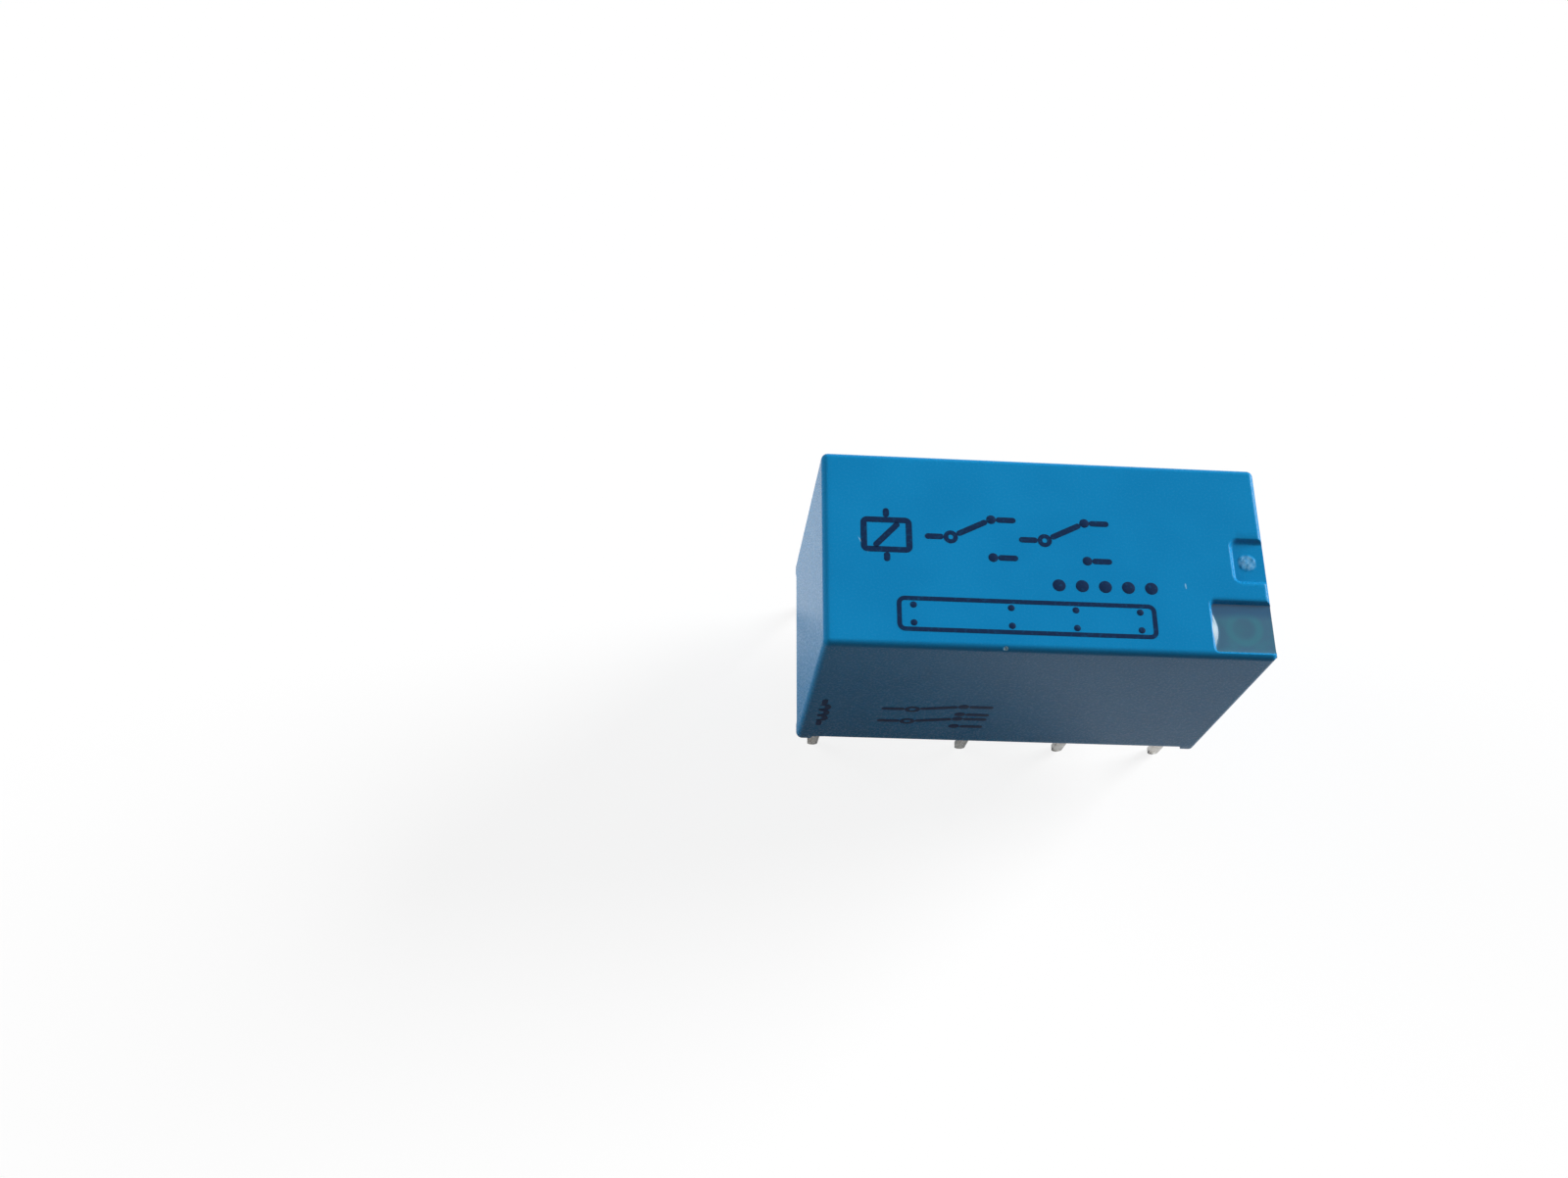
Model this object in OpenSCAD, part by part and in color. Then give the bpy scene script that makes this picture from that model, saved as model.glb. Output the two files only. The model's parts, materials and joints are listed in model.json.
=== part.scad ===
// Sealed two-pole changeover relay for a circuit board, in millimetres.
// The board's surface is z = 0, X runs along the relay, and the coil pins are at -X.
// The front side is -Y. Everything is drawn with the coil off.

/* [Cover] */
// Length of the cover over its end walls, at the feet
cover_length = 20; // [18:0.1:23]
// Width of the cover over its side walls, at the feet
cover_width = 9.5; // [8.6:0.1:11]
// Height of the roof above the board
cover_height = 11.9; // [10.8:0.1:14]
// Thickness of the side and end walls
cover_wall = 0.45; // [0.35:0.05:0.5]
// Thickness of the roof
cover_roof = 0.55; // [0.5:0.05:0.7]
// How far each wall leans in between the feet and the roof
cover_draft = 0.08; // [0.02:0.02:0.1]
// Radius of the upright corners
cover_corner_r = 0.3; // [0.15:0.05:0.4]
// Radius of the roof's edges
cover_edge_r = 0.3; // [0.15:0.05:0.4]
// Height of the four corner feet
foot_height = 0.3; // [0.2:0.05:0.5]
// Length of a foot along the long side
foot_length = 0.75; // [0.6:0.05:1.2]
// Length of a foot along the short side
foot_width = 0.7; // [0.6:0.05:1]

/* [Gate recess and vent] */
// Width of the moulding gate's recess in the roof
gate_width = 2.05; // [1.5:0.05:2.3]
// Length of the recess, from the end of the roof
gate_length = 1.6; // [1.2:0.1:2]
// Depth of the recess
gate_depth = 0.22; // [0.1:0.02:0.3]
// Radius of its two inner corners
gate_corner_r = 0.35; // [0.2:0.05:0.5]
// Radius of the gate's stub on the recess floor
gate_stub_r = 0.4; // [0.2:0.05:0.5]
// Height of that stub
gate_stub_height = 0.07; // [0.04:0.01:0.09]
// Distance from the end of the roof to the stub's middle
gate_stub_x = 0.95; // [0.7:0.05:1.1]
// Width of the vent's pocket in the roof
vent_width = 2.3; // [1.8:0.1:2.4]
// Length of the pocket, from the end of the roof
vent_length = 2.75; // [2:0.05:3.2]
// Depth of the pocket
vent_depth = 0.32; // [0.2:0.02:0.34]
// Width of the lip left between the pocket and the front wall's face
vent_lip = 0.4; // [0.35:0.05:0.6]
// Radius of the vent hole in the pocket
vent_hole_r = 0.3; // [0.2:0.05:0.5]
// How far the seal stays below the roof
vent_seal_recess = 0.08; // [0.04:0.02:0.12]

/* [Terminals] */
// Pitch of the board's grid: the common pins are three steps from the coil pins and the break pins five
pin_pitch = 2.54; // [2.3:0.01:2.8]
// Distance from the cover's end to the middle of the coil pins and of the make pins
end_margin = 1.11; // [1.05:0.01:1.2]
// Distance from the cover's side to the middle of a row of pins
row_margin = 0.94; // [0.88:0.01:1.05]
// Length of the pins below the board's surface
pin_length = 3.2; // [2.5:0.1:4]
// Width of a pin along the relay
pin_width = 0.5; // [0.4:0.05:0.6]
// Thickness of the terminal strip
strip_thick = 0.3; // [0.2:0.05:0.35]
// Chamfer at a pin's tip
pin_tip = 0.14; // [0.05:0.01:0.18]
// Width of the upright strips inside
strip_width = 0.6; // [0.5:0.05:0.7]
// Width of the legs in the underside's grooves
leg_width = 0.32; // [0.25:0.01:0.4]
// Distance from a contact pin's row to its leg's inner end
leg_reach = 1.8; // [1.5:0.1:2]
// Length of a coil pin's slanting leg
coil_leg_reach = 3.5; // [3:0.1:3.8]
// Height of the coil posts above the base
coil_post_height = 1.7; // [1.5:0.1:2.4]

/* [Base and seal] */
// How far the base's pads lie inside the rim
pad_recess = 0.2; // [0.1:0.05:0.3]
// How far the sealing resin lies below the pads
seal_recess = 0.15; // [0.1:0.05:0.3]
// Depth of the sealing resin
seal_thick = 0.3; // [0.2:0.05:0.4]
// Thickness of the base's plate
plate_thick = 1; // [0.8:0.05:1.2]
// Clearance between the plate and the cover
plate_fit = 0.03; // [0.02:0.01:0.06]
// Width of the resin between the pads and the cover
moat_width = 0.12; // [0.08:0.02:0.2]
// Width of the row of pads along each side
pad_row = 1.25; // [1:0.05:1.4]
// Width of the row of pads along each end
end_row = 1.5; // [1.2:0.05:1.6]
// Width of the wide resin channels between the pads
channel_width = 1.2; // [0.8:0.05:1.4]
// Width of the narrow resin channels at the pins
pin_channel = 0.56; // [0.5:0.02:0.7]
// Radius of the resin's eye around each pin
pin_eye_r = 0.48; // [0.4:0.02:0.55]
// How far the resin reaches in from the corner pins
corner_relief = 0.7; // [0.6:0.05:0.8]
// Radius of the pips in the wide channels
pip_r = 0.24; // [0.15:0.01:0.3]
// Height of the collars that hold the terminals
collar_height = 0.7; // [0.5:0.05:0.9]
// Wall of those collars
collar_wall = 0.24; // [0.15:0.01:0.25]
// Gap between the common terminals' collars and the bobbin
collar_gap = 0.04; // [0.02:0.01:0.1]
// Height of the rails beside the bobbin
rail_height = 0.8; // [0.5:0.05:1]
// Thickness of those rails
rail_thick = 0.3; // [0.2:0.05:0.4]

/* [Electromagnet] */
// Gap between the bobbin's flanges and the rows of terminals
flange_gap = 0.66; // [0.5:0.02:0.9]
// Thickness of the bobbin's flanges
flange_thick = 0.6; // [0.4:0.05:0.8]
// Wall of the bobbin's tube
bobbin_wall = 0.32; // [0.25:0.01:0.4]
// How far the winding stays inside the flanges' edges
winding_margin = 0.3; // [0.2:0.05:0.6]
// Radius of the coil's lead wires
lead_r = 0.08; // [0.06:0.01:0.1]
// Radius of the iron core
core_r = 1.2; // [0.9:0.05:1.3]
// Radius of the core's riveted tail
core_tail_r = 0.8; // [0.6:0.05:0.85]
// Clearance of the core in the bobbin
core_fit = 0.03; // [0.02:0.01:0.06]
// Gap between the pole face's edge and the common tabs
pole_gap = 0.1; // [0.08:0.01:0.2]
// Thickness of the pole face
pole_thick = 0.85; // [0.7:0.05:1]
// Thickness of the yoke
yoke_thick = 0.9; // [0.8:0.05:1]
// How far the yoke stays inside the flanges' edges
yoke_inset = 0.4; // [0.2:0.05:0.7]
// Clearance between the yoke and the cover's end
yoke_gap = 0.22; // [0.15:0.01:0.3]
// Radius of the stake that holds the hinge spring
stake_r = 0.5; // [0.35:0.05:0.6]
// Distance from the hinge back to the stake
stake_offset = 3; // [2.6:0.1:3.6]

/* [Armature] */
// Thickness of the armature's sheet
armature_thick = 0.7; // [0.6:0.05:0.75]
// Gap between the armature's edges and the blades
armature_gap = 0.15; // [0.1:0.01:0.3]
// Angle that the armature turns through
armature_throw = 4; // [3:0.1:4.2]
// Gap left at the pole when the coil is on
residual_gap = 0.05; // [0.03:0.01:0.08]
// Clearance of the armature on the yoke's nose
hinge_fit = 0.02; // [0.01:0.01:0.04]
// Depth of the armature's face past the hinge's axis
hinge_set = 0.2; // [0.15:0.01:0.25]
// Inside radius of the armature's bend
bend_r = 0.2; // [0.1:0.05:0.3]
// Clearance of the armature and the yoke's leg above the base
armature_clear = 0.7; // [0.5:0.05:1]
// Gap between the yoke's top and the armature's level arm
arm_gap = 0.05; // [0.03:0.01:0.1]
// Gap between the card at rest and the roof
roof_gap = 0.45; // [0.3:0.05:0.8]
// Width of the tongue that carries the card
tongue_width = 2; // [1.6:0.1:2.4]
// Thickness of the hinge spring
spring_thick = 0.12; // [0.08:0.01:0.15]
// Width of the hinge spring
spring_width = 3; // [2.4:0.1:3.4]
// Gap between the hinge spring and the armature at rest
spring_gap = 0.06; // [0.05:0.01:0.1]

/* [Contacts] */
// Height of the blades above the base
blade_height = 3.75; // [3.5:0.05:3.9]
// Thickness of the moving blades
blade_thick = 0.15; // [0.1:0.01:0.2]
// Width of the moving blades
blade_width = 1.4; // [1.2:0.05:1.4]
// Distance from the row of pins in to the blades' middle
blade_inset = 1.21; // [1.15:0.01:1.25]
// Distance from a blade's root to its contact
contact_reach = 7.4; // [6.8:0.1:7.6]
// Gap between the common tabs and the bobbin
tab_gap = 0.15; // [0.08:0.01:0.25]
// Radius of the contacts
contact_r = 0.6; // [0.5:0.02:0.65]
// Height of a contact's head
contact_head = 0.33; // [0.25:0.01:0.4]
// Height of the dome on the head
contact_dome = 0.15; // [0.08:0.01:0.2]
// Radius of a contact's shank
contact_shank_r = 0.3; // [0.2:0.02:0.35]
// Height of the clinched end of a fixed contact
contact_clinch = 0.12; // [0.08:0.01:0.15]
// Clearance left where two contacts close
contact_gap = 0.02; // [0.01:0.01:0.04]
// Length of the fixed contacts' tabs along the relay
contact_tab = 1.3; // [1.2:0.05:1.5]
// Height of the fixed contacts' arms
contact_arm = 0.5; // [0.4:0.05:0.6]
// Distance from the hinge to the card's feet
card_reach = 5; // [4.8:0.05:5.2]
// Length of the card along the relay
card_length = 0.8; // [0.7:0.05:1]
// Wall of the card around the tongue
card_wall = 0.35; // [0.3:0.05:0.4]
// Width of each of the card's legs
card_leg = 0.9; // [0.7:0.05:1]
// Radius of the card's feet
card_foot_r = 0.3; // [0.2:0.05:0.34]
// Clearance between the card's feet and the blades
card_gap = 0.03; // [0.02:0.01:0.05]

/* [Hidden] */
$fn = 64;
hull_fn = 32;
skin = 0.02;
past = 1;

// Inside of the cover
inner_length = cover_length - 2 * cover_wall;
inner_width = cover_width - 2 * cover_wall;
roof_under = cover_height - cover_roof;

// Places of the pins along the relay and across it
coil_pin_x = end_margin - cover_length / 2;
make_pin_x = cover_length / 2 - end_margin;
common_pin_x = coil_pin_x + 3 * pin_pitch;
break_pin_x = coil_pin_x + 5 * pin_pitch;
row_y = cover_width / 2 - row_margin;
channel_x = [(coil_pin_x + common_pin_x) / 2, (common_pin_x + break_pin_x) / 2, (break_pin_x + make_pin_x) / 2];

// Levels of the base and its seal
pad_z = foot_height + pad_recess;
seal_z = pad_z + seal_recess;
plate_z = seal_z + seal_thick;
leg_z = plate_z + strip_thick;
base_top = plate_z + plate_thick;

// Moving blades, inwards from the rows of terminals
root_x = common_pin_x + strip_width / 2;
contact_x = root_x + contact_reach;
blade_y = row_y - blade_inset;
blade_z = base_top + blade_height;
blade_top = blade_z + blade_thick;
tab_in = blade_y - blade_width / 2;

// Hinge on the yoke's round nose, down from the roof and forward from the pole face
pole_back_x = common_pin_x - strip_width / 2 - collar_wall - collar_gap;
pole_face_x = pole_back_x + pole_thick;
armature_x = pole_face_x + residual_gap;
nose_r = yoke_thick / 2;
hinge_x = armature_x - hinge_set;
card_rise = nose_r + arm_gap + armature_thick + card_wall;
hinge_z = roof_under - roof_gap
    - (card_reach + card_length / 2) * sin(armature_throw) - card_rise * cos(armature_throw);
arm_z = hinge_z + nose_r + arm_gap;
arm_top = arm_z + armature_thick;
bend_outer_r = bend_r + armature_thick;
armature_width = 2 * (tab_in - armature_gap);

// Electromagnet, between the pole face and the cover's end
yoke_z = hinge_z - nose_r;
yoke_top = hinge_z + nose_r;
yoke_back_x = yoke_gap - inner_length / 2;
yoke_face_x = yoke_back_x + yoke_thick;
flange_width = 2 * (row_y - strip_thick / 2 - flange_gap);
flange_height = yoke_z - base_top;
yoke_width = flange_width - 2 * yoke_inset;
bobbin_length = pole_back_x - yoke_face_x;
bobbin_bore_r = core_r + core_fit;
bobbin_tube_r = bobbin_bore_r + bobbin_wall;
winding_r = min(flange_width, flange_height) / 2 - winding_margin;
pole_r = tab_in - pole_gap;
coil_z = base_top + flange_height / 2;

// Card's feet with the coil on, from where they stand on the blades with it off
card_x = hinge_x + card_reach;
foot_rest_z = blade_top + card_gap + card_foot_r - hinge_z;
foot_z = hinge_z + (foot_rest_z - card_reach * sin(armature_throw)) / cos(armature_throw);

// Angle that the blades turn through, so that the feet keep their clearance
foot_from_root = [card_x - root_x, foot_z - blade_z];
blade_throw = atan2(foot_from_root[0], foot_from_root[1])
    - acos((blade_thick + card_gap + card_foot_r) / norm(foot_from_root));

// Contacts: a dome's radius, and the levels where the contacts close
dome_r = (contact_r * contact_r + contact_dome * contact_dome) / (2 * contact_dome);
break_face_z = blade_top + contact_head + contact_gap;
break_tab_z = break_face_z + contact_head;
lower_dome_z = dome_r - contact_head;
make_face_z = blade_z - contact_reach * sin(blade_throw) + lower_dome_z * cos(blade_throw) - dome_r - contact_gap;
make_tab_z = make_face_z - contact_head - strip_thick;

cover_blue = "#187db4";
tinned = "#c9ccd0";
bronze = "#c79a5b";
iron = "#8d9196";

// Shapes that repeat

// A block between its lowest and its highest corner
module block(low, high) {
    translate(low) cube(high - low);
}

// The rear side's shape, turned over to the front where side is -1
module on_side(side) {
    mirror([0, side < 0 ? 1 : 0, 0]) children();
}

// A flat outline in X and Z, given its width across the relay
module across(width) {
    translate([0, width / 2, 0]) rotate([90, 0, 0]) linear_extrude(width) children();
}

// A shape drawn with the coil on, turned back to where it rests
module at_rest() {
    translate([hinge_x, 0, hinge_z]) rotate([0, -armature_throw, 0]) translate([-hinge_x, 0, -hinge_z]) children();
}

// A cylinder along the relay, on the coil's axis
module on_coil_axis(x, length, r) {
    translate([x, 0, coil_z]) rotate([0, 90, 0]) cylinder(h = length, r = r);
}

// A domed contact head that stands on z = 0
module contact_head_shape() {
    intersection() {
        cylinder(h = contact_head, r = contact_r);
        translate([0, 0, contact_head - dome_r]) sphere(r = dome_r);
    }
}

// Cover

module cover_outside() {
    hull() {
        for (sx = [-1, 1], sy = [-1, 1]) {
            translate([sx * (cover_length / 2 - cover_corner_r), sy * (cover_width / 2 - cover_corner_r), 0])
                cylinder(h = skin, r = cover_corner_r, $fn = hull_fn);
            translate([
                sx * (cover_length / 2 - cover_draft - cover_edge_r),
                sy * (cover_width / 2 - cover_draft - cover_edge_r),
                cover_height - cover_edge_r
            ])
                sphere(r = cover_edge_r, $fn = hull_fn);
        }
    }
}

// Straight where the base and its seal sit, leaning in above them
module cover_inside() {
    block([-inner_length / 2, -inner_width / 2, -past], [inner_length / 2, inner_width / 2, base_top]);
    hull() {
        block([-inner_length / 2, -inner_width / 2, base_top - skin], [inner_length / 2, inner_width / 2, base_top]);
        block(
            [cover_draft - inner_length / 2, cover_draft - inner_width / 2, roof_under - skin],
            [inner_length / 2 - cover_draft, inner_width / 2 - cover_draft, roof_under]
        );
    }
}

module gate_recess() {
    low_x = cover_length / 2 - gate_length;
    floor_z = cover_height - gate_depth;
    high = [cover_length / 2 + past, gate_width / 2, cover_height + past];
    block([low_x + gate_corner_r, -gate_width / 2, floor_z], high);
    block([low_x, gate_corner_r - gate_width / 2, floor_z], [high[0], gate_width / 2 - gate_corner_r, high[2]]);
    for (sy = [-1, 1])
        translate([low_x + gate_corner_r, sy * (gate_width / 2 - gate_corner_r), floor_z])
            cylinder(h = gate_depth + past, r = gate_corner_r);
}

vent_low = [cover_length / 2 - vent_length, vent_lip - cover_width / 2, cover_height - vent_depth];

module vent_pocket(top_z) {
    block(vent_low, [cover_length / 2 + past, vent_low[1] + vent_width, top_z]);
}

module vent_hole() {
    translate([vent_low[0] + vent_length / 2, vent_low[1] + vent_width / 2, roof_under])
        cylinder(h = cover_height - vent_depth - roof_under + skin, r = vent_hole_r);
}

module rim_between_feet() {
    block(
        [foot_length - cover_length / 2, -cover_width / 2 - past, -past],
        [cover_length / 2 - foot_length, cover_width / 2 + past, foot_height]
    );
    block(
        [-cover_length / 2 - past, foot_width - cover_width / 2, -past],
        [cover_length / 2 + past, cover_width / 2 - foot_width, foot_height]
    );
}

// The stub overlaps the recess floor a little, so that it joins the roof
module gate_stub() {
    translate([cover_length / 2 - gate_stub_x, 0, cover_height - gate_depth - skin])
        cylinder(h = gate_stub_height + skin, r = gate_stub_r);
}

module cover() {
    color(cover_blue) union() {
        cover_with_cuts();
        gate_stub();
    }
}

module cover_with_cuts() {
    difference() {
        cover_outside();
        cover_inside();
        gate_recess();
        vent_pocket(cover_height + past);
        vent_hole();
        rim_between_feet();
    }
}

module vent_seal() {
    color("#4a7884") union() {
        intersection() {
            cover_outside();
            vent_pocket(cover_height - vent_seal_recess);
        }
        vent_hole();
    }
}

// Base and its seal

// Outline of the pads: a frame around the resin's pool, cut by the channels
module pad_outline() {
    long = inner_length - 2 * moat_width;
    wide = inner_width - 2 * moat_width;
    difference() {
        square([long, wide], center = true);
        square([long - 2 * end_row, wide - 2 * pad_row], center = true);
        square([long + past, channel_width], center = true);
        for (x = channel_x)
            translate([x, 0]) square([channel_width, wide + past], center = true);
        for (x = [common_pin_x, break_pin_x, make_pin_x], sy = [-1, 1])
            translate([x, sy * row_y]) square([pin_channel, 2 * leg_reach], center = true);
        for (x = [common_pin_x, break_pin_x], sy = [-1, 1])
            translate([x, sy * row_y]) circle(r = pin_eye_r);
        for (sx = [-1, 1], sy = [-1, 1])
            translate([sx * (make_pin_x - corner_relief + past), sy * (row_y - corner_relief + past)])
                square(2 * past, center = true);
        for (sy = [-1, 1])
            translate([coil_pin_x, sy * row_y]) rotate(-45 * sy)
                translate([0, -pin_channel / 2]) square([coil_leg_reach, pin_channel]);
    }
}

module pips() {
    pip_y = inner_width / 2 - moat_width - pip_r;
    for (x = channel_x, sy = [-1, 1])
        translate([x, sy * pip_y, pad_z]) cylinder(h = plate_z - pad_z + skin, r = pip_r);
    for (sx = [-1, 1])
        translate([sx * (inner_length / 2 - moat_width - pip_r), 0, pad_z])
            cylinder(h = plate_z - pad_z + skin, r = pip_r);
}

module pads() {
    translate([0, 0, pad_z]) linear_extrude(plate_z - pad_z + skin) pad_outline();
    pips();
}

// A collar around a strip that stands up through the base, on the rear side
module collar(x, y) {
    half = [strip_width / 2 + collar_wall, strip_thick / 2 + collar_wall];
    block([x - half[0], y - half[1], base_top - skin], [x + half[0], y + half[1], base_top + collar_height]);
}

module rail() {
    rail_y = flange_width / 2 + core_fit;
    block([yoke_face_x + flange_thick, rail_y, base_top - skin],
        [pole_back_x - flange_thick, rail_y + rail_thick, base_top + rail_height]);
}

module all_terminals() {
    for (side = [-1, 1]) {
        coil_terminal(side);
        common_terminal(side);
        break_terminal(side);
        make_terminal(side);
    }
}

module base() {
    long = inner_length / 2 - plate_fit;
    wide = inner_width / 2 - plate_fit;
    color(cover_blue) difference() {
        union() {
            block([-long, -wide, plate_z], [long, wide, base_top]);
            pads();
            for (side = [-1, 1]) on_side(side) {
                collar(coil_pin_x, row_y);
                collar(common_pin_x, blade_y);
                collar(break_pin_x, row_y);
                collar(make_pin_x, row_y);
                rail();
            }
        }
        all_terminals();
    }
}

module base_seal() {
    color("#c3ccd2") difference() {
        block([-inner_length / 2, -inner_width / 2, seal_z], [inner_length / 2, inner_width / 2, plate_z]);
        pads();
        all_terminals();
    }
}

// Terminals

// A pin with a chamfered tip, on the rear row
module pin(x) {
    half = pin_width / 2;
    translate([x, row_y, 0]) across(strip_thick) polygon([
        [pin_tip - half, -pin_length], [half - pin_tip, -pin_length], [half, pin_tip - pin_length],
        [half, leg_z], [-half, leg_z], [-half, pin_tip - pin_length]
    ]);
}

// The upright strip above a pin, from the base's underside to a given height
module upright(x, y, top_z) {
    block([x - strip_width / 2, y - strip_thick / 2, plate_z], [x + strip_width / 2, y + strip_thick / 2, top_z]);
}

// The leg in the underside's groove, from a pin in towards the middle
module leg(x, reach) {
    block([x - leg_width / 2, row_y - reach, plate_z], [x + leg_width / 2, row_y, leg_z]);
}

module coil_terminal(side) {
    color(tinned) on_side(side) {
        pin(coil_pin_x);
        upright(coil_pin_x, row_y, base_top + coil_post_height);
        translate([coil_pin_x, row_y, plate_z]) rotate([0, 0, -45])
            translate([0, -leg_width / 2, 0]) cube([coil_leg_reach, leg_width, strip_thick]);
    }
}

module common_terminal(side) {
    color(tinned) on_side(side) {
        pin(common_pin_x);
        leg(common_pin_x, leg_reach);
        upright(common_pin_x, blade_y, blade_z);
        block([pole_back_x + tab_gap, tab_in, blade_z - strip_thick], [root_x, tab_in + blade_width, blade_z]);
    }
}

// The arm and tab that carry a fixed contact, on the rear side, with the tab's top or underside at tab_z
module contact_bracket(pin_x, low_z, tab_z) {
    tab_x = [contact_x - contact_tab / 2, contact_x + contact_tab / 2];
    outer_y = row_y + strip_thick / 2;
    arm_x = [min(tab_x[0], pin_x - strip_width / 2), max(tab_x[1], pin_x + strip_width / 2)];
    difference() {
        union() {
            block([arm_x[0], outer_y - strip_thick, low_z], [arm_x[1], outer_y, low_z + contact_arm]);
            block([tab_x[0], tab_in, tab_z], [tab_x[1], outer_y, tab_z + strip_thick]);
        }
        translate([contact_x, blade_y, tab_z - past]) cylinder(h = strip_thick + 2 * past, r = contact_shank_r);
    }
}

module break_terminal(side) {
    top_z = break_tab_z + strip_thick;
    color(tinned) on_side(side) {
        pin(break_pin_x);
        leg(break_pin_x, leg_reach);
        upright(break_pin_x, row_y, top_z);
        contact_bracket(break_pin_x, top_z - contact_arm, break_tab_z);
    }
}

module make_terminal(side) {
    top_z = make_tab_z + strip_thick;
    color(tinned) on_side(side) {
        pin(make_pin_x);
        leg(make_pin_x, leg_reach);
        upright(make_pin_x, row_y, top_z);
        contact_bracket(make_pin_x, top_z - contact_arm, make_tab_z);
    }
}

// Electromagnet

module bobbin() {
    color("#e6e2d6") difference() {
        union() {
            on_coil_axis(yoke_face_x, bobbin_length, bobbin_tube_r);
            for (x = [yoke_face_x, pole_back_x - flange_thick])
                block([x, -flange_width / 2, base_top], [x + flange_thick, flange_width / 2, yoke_z]);
        }
        on_coil_axis(yoke_face_x - past, bobbin_length + 2 * past, bobbin_bore_r);
    }
}

module winding() {
    low_x = yoke_face_x + flange_thick;
    length = bobbin_length - 2 * flange_thick;
    color("#a4502a") difference() {
        on_coil_axis(low_x, length, winding_r);
        on_coil_axis(low_x - past, length + 2 * past, bobbin_tube_r);
    }
}

// A round wire between two points
module wire(from, to) {
    run = to - from;
    translate(from)
        rotate([0, acos(run[2] / norm(run)), atan2(run[1], run[0])]) cylinder(h = norm(run), r = lead_r, $fn = 24);
    translate(from) sphere(r = 1.25 * lead_r, $fn = 24);
}

// The lead leaves the winding, passes the flange's edge and is wound and soldered on the coil post
module coil_lead(side) {
    post_z = base_top + coil_post_height;
    wrap_r = norm([strip_width, strip_thick]) / 2 + lead_r;
    wrap_z = [base_top + collar_height + lead_r, post_z - 4 * lead_r];
    past_flange_y = flange_width / 2 + 2 * lead_r;
    route = [
        [yoke_face_x + flange_thick + 3 * lead_r, winding_r + 1.3 * lead_r, coil_z],
        [yoke_face_x + flange_thick + 2 * lead_r, past_flange_y, coil_z - 8 * lead_r],
        [yoke_face_x - 2 * lead_r, past_flange_y, wrap_z[1] + 4 * lead_r],
        [coil_pin_x + wrap_r / 2, row_y - wrap_r / 2, wrap_z[1] - lead_r]
    ];
    color("#b4623a") on_side(side) difference() {
        union() {
            for (i = [0:len(route) - 2]) wire(route[i], route[i + 1]);
            translate([coil_pin_x, row_y, wrap_z[0]]) cylinder(h = wrap_z[1] - wrap_z[0], r = wrap_r);
        }
        upright(coil_pin_x, row_y, post_z);
    }
}

module core() {
    tail = yoke_thick + 0.1;
    color(iron) union() {
        on_coil_axis(yoke_face_x - tail, tail + skin, core_tail_r);
        on_coil_axis(yoke_face_x, bobbin_length + skin, core_r);
        on_coil_axis(pole_back_x, pole_thick, pole_r);
    }
}

module yoke() {
    half = yoke_width / 2;
    color(iron) difference() {
        union() {
            block([yoke_back_x, -half, base_top + armature_clear], [yoke_face_x, half, yoke_top]);
            block([yoke_back_x, -half, yoke_z], [hinge_x, half, yoke_top]);
            translate([hinge_x, half, hinge_z]) rotate([90, 0, 0]) cylinder(h = yoke_width, r = nose_r);
            translate([hinge_x - stake_offset, 0, yoke_top - skin])
                cylinder(h = spring_thick + 2 * skin, r = stake_r);
        }
        on_coil_axis(yoke_back_x - past, yoke_thick + 2 * past, core_tail_r);
    }
}

// A leaf staked to the yoke, stepped up to hold the armature's bend down on the nose
module hinge_spring() {
    tongue_z = arm_top + spring_gap;
    back_x = hinge_x - stake_offset - 2 * stake_r;
    step_x = hinge_x - stake_offset + 2 * stake_r;
    tongue_x = hinge_x - bend_r;
    color(bronze) difference() {
        across(spring_width) polygon([
            [back_x, yoke_top], [step_x, yoke_top], [tongue_x, tongue_z], [armature_x + bend_r, tongue_z],
            [armature_x + bend_r, tongue_z + spring_thick], [tongue_x - spring_thick / 2, tongue_z + spring_thick],
            [step_x - spring_thick / 2, yoke_top + spring_thick], [back_x, yoke_top + spring_thick]
        ]);
        translate([hinge_x - stake_offset, 0, yoke_top - past]) cylinder(h = 2 * past, r = stake_r + core_fit);
    }
}

// Armature and card

// The bent sheet's outline with the coil on
module armature_outline() {
    bend = [armature_x + bend_outer_r, arm_top - bend_outer_r];
    translate([armature_x, base_top + armature_clear])
        square([armature_thick, bend[1] - base_top - armature_clear]);
    translate([bend[0], arm_z]) square([card_x - card_length / 2 - bend[0], armature_thick]);
    intersection() {
        difference() {
            translate(bend) circle(r = bend_outer_r);
            translate(bend) circle(r = bend_r);
        }
        translate([armature_x, bend[1]]) square(bend_outer_r);
    }
}

module tongue() {
    block([card_x - card_length, -tongue_width / 2, arm_z], [card_x + card_length / 2, tongue_width / 2, arm_top]);
}

module armature() {
    color(iron) at_rest() {
        difference() {
            across(armature_width) armature_outline();
            translate([hinge_x, armature_width / 2 + past, hinge_z]) rotate([90, 0, 0])
                cylinder(h = armature_width + 2 * past, r = nose_r + hinge_fit);
        }
        tongue();
    }
}

// The insulating card: a block on the tongue with a leg over each blade
module card() {
    half = [card_length / 2, blade_y + card_leg / 2];
    color("#f0ede4") at_rest() difference() {
        union() {
            block([card_x - half[0], -half[1], arm_z - card_wall], [card_x + half[0], half[1], arm_top + card_wall]);
            for (side = [-1, 1]) on_side(side) {
                block([card_x - card_foot_r, blade_y - card_leg / 2, foot_z],
                    [card_x + card_foot_r, half[1], arm_z]);
                translate([card_x, half[1], foot_z]) rotate([90, 0, 0]) cylinder(h = card_leg, r = card_foot_r);
            }
        }
        tongue();
    }
}

// Moving blades and contacts

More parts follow.
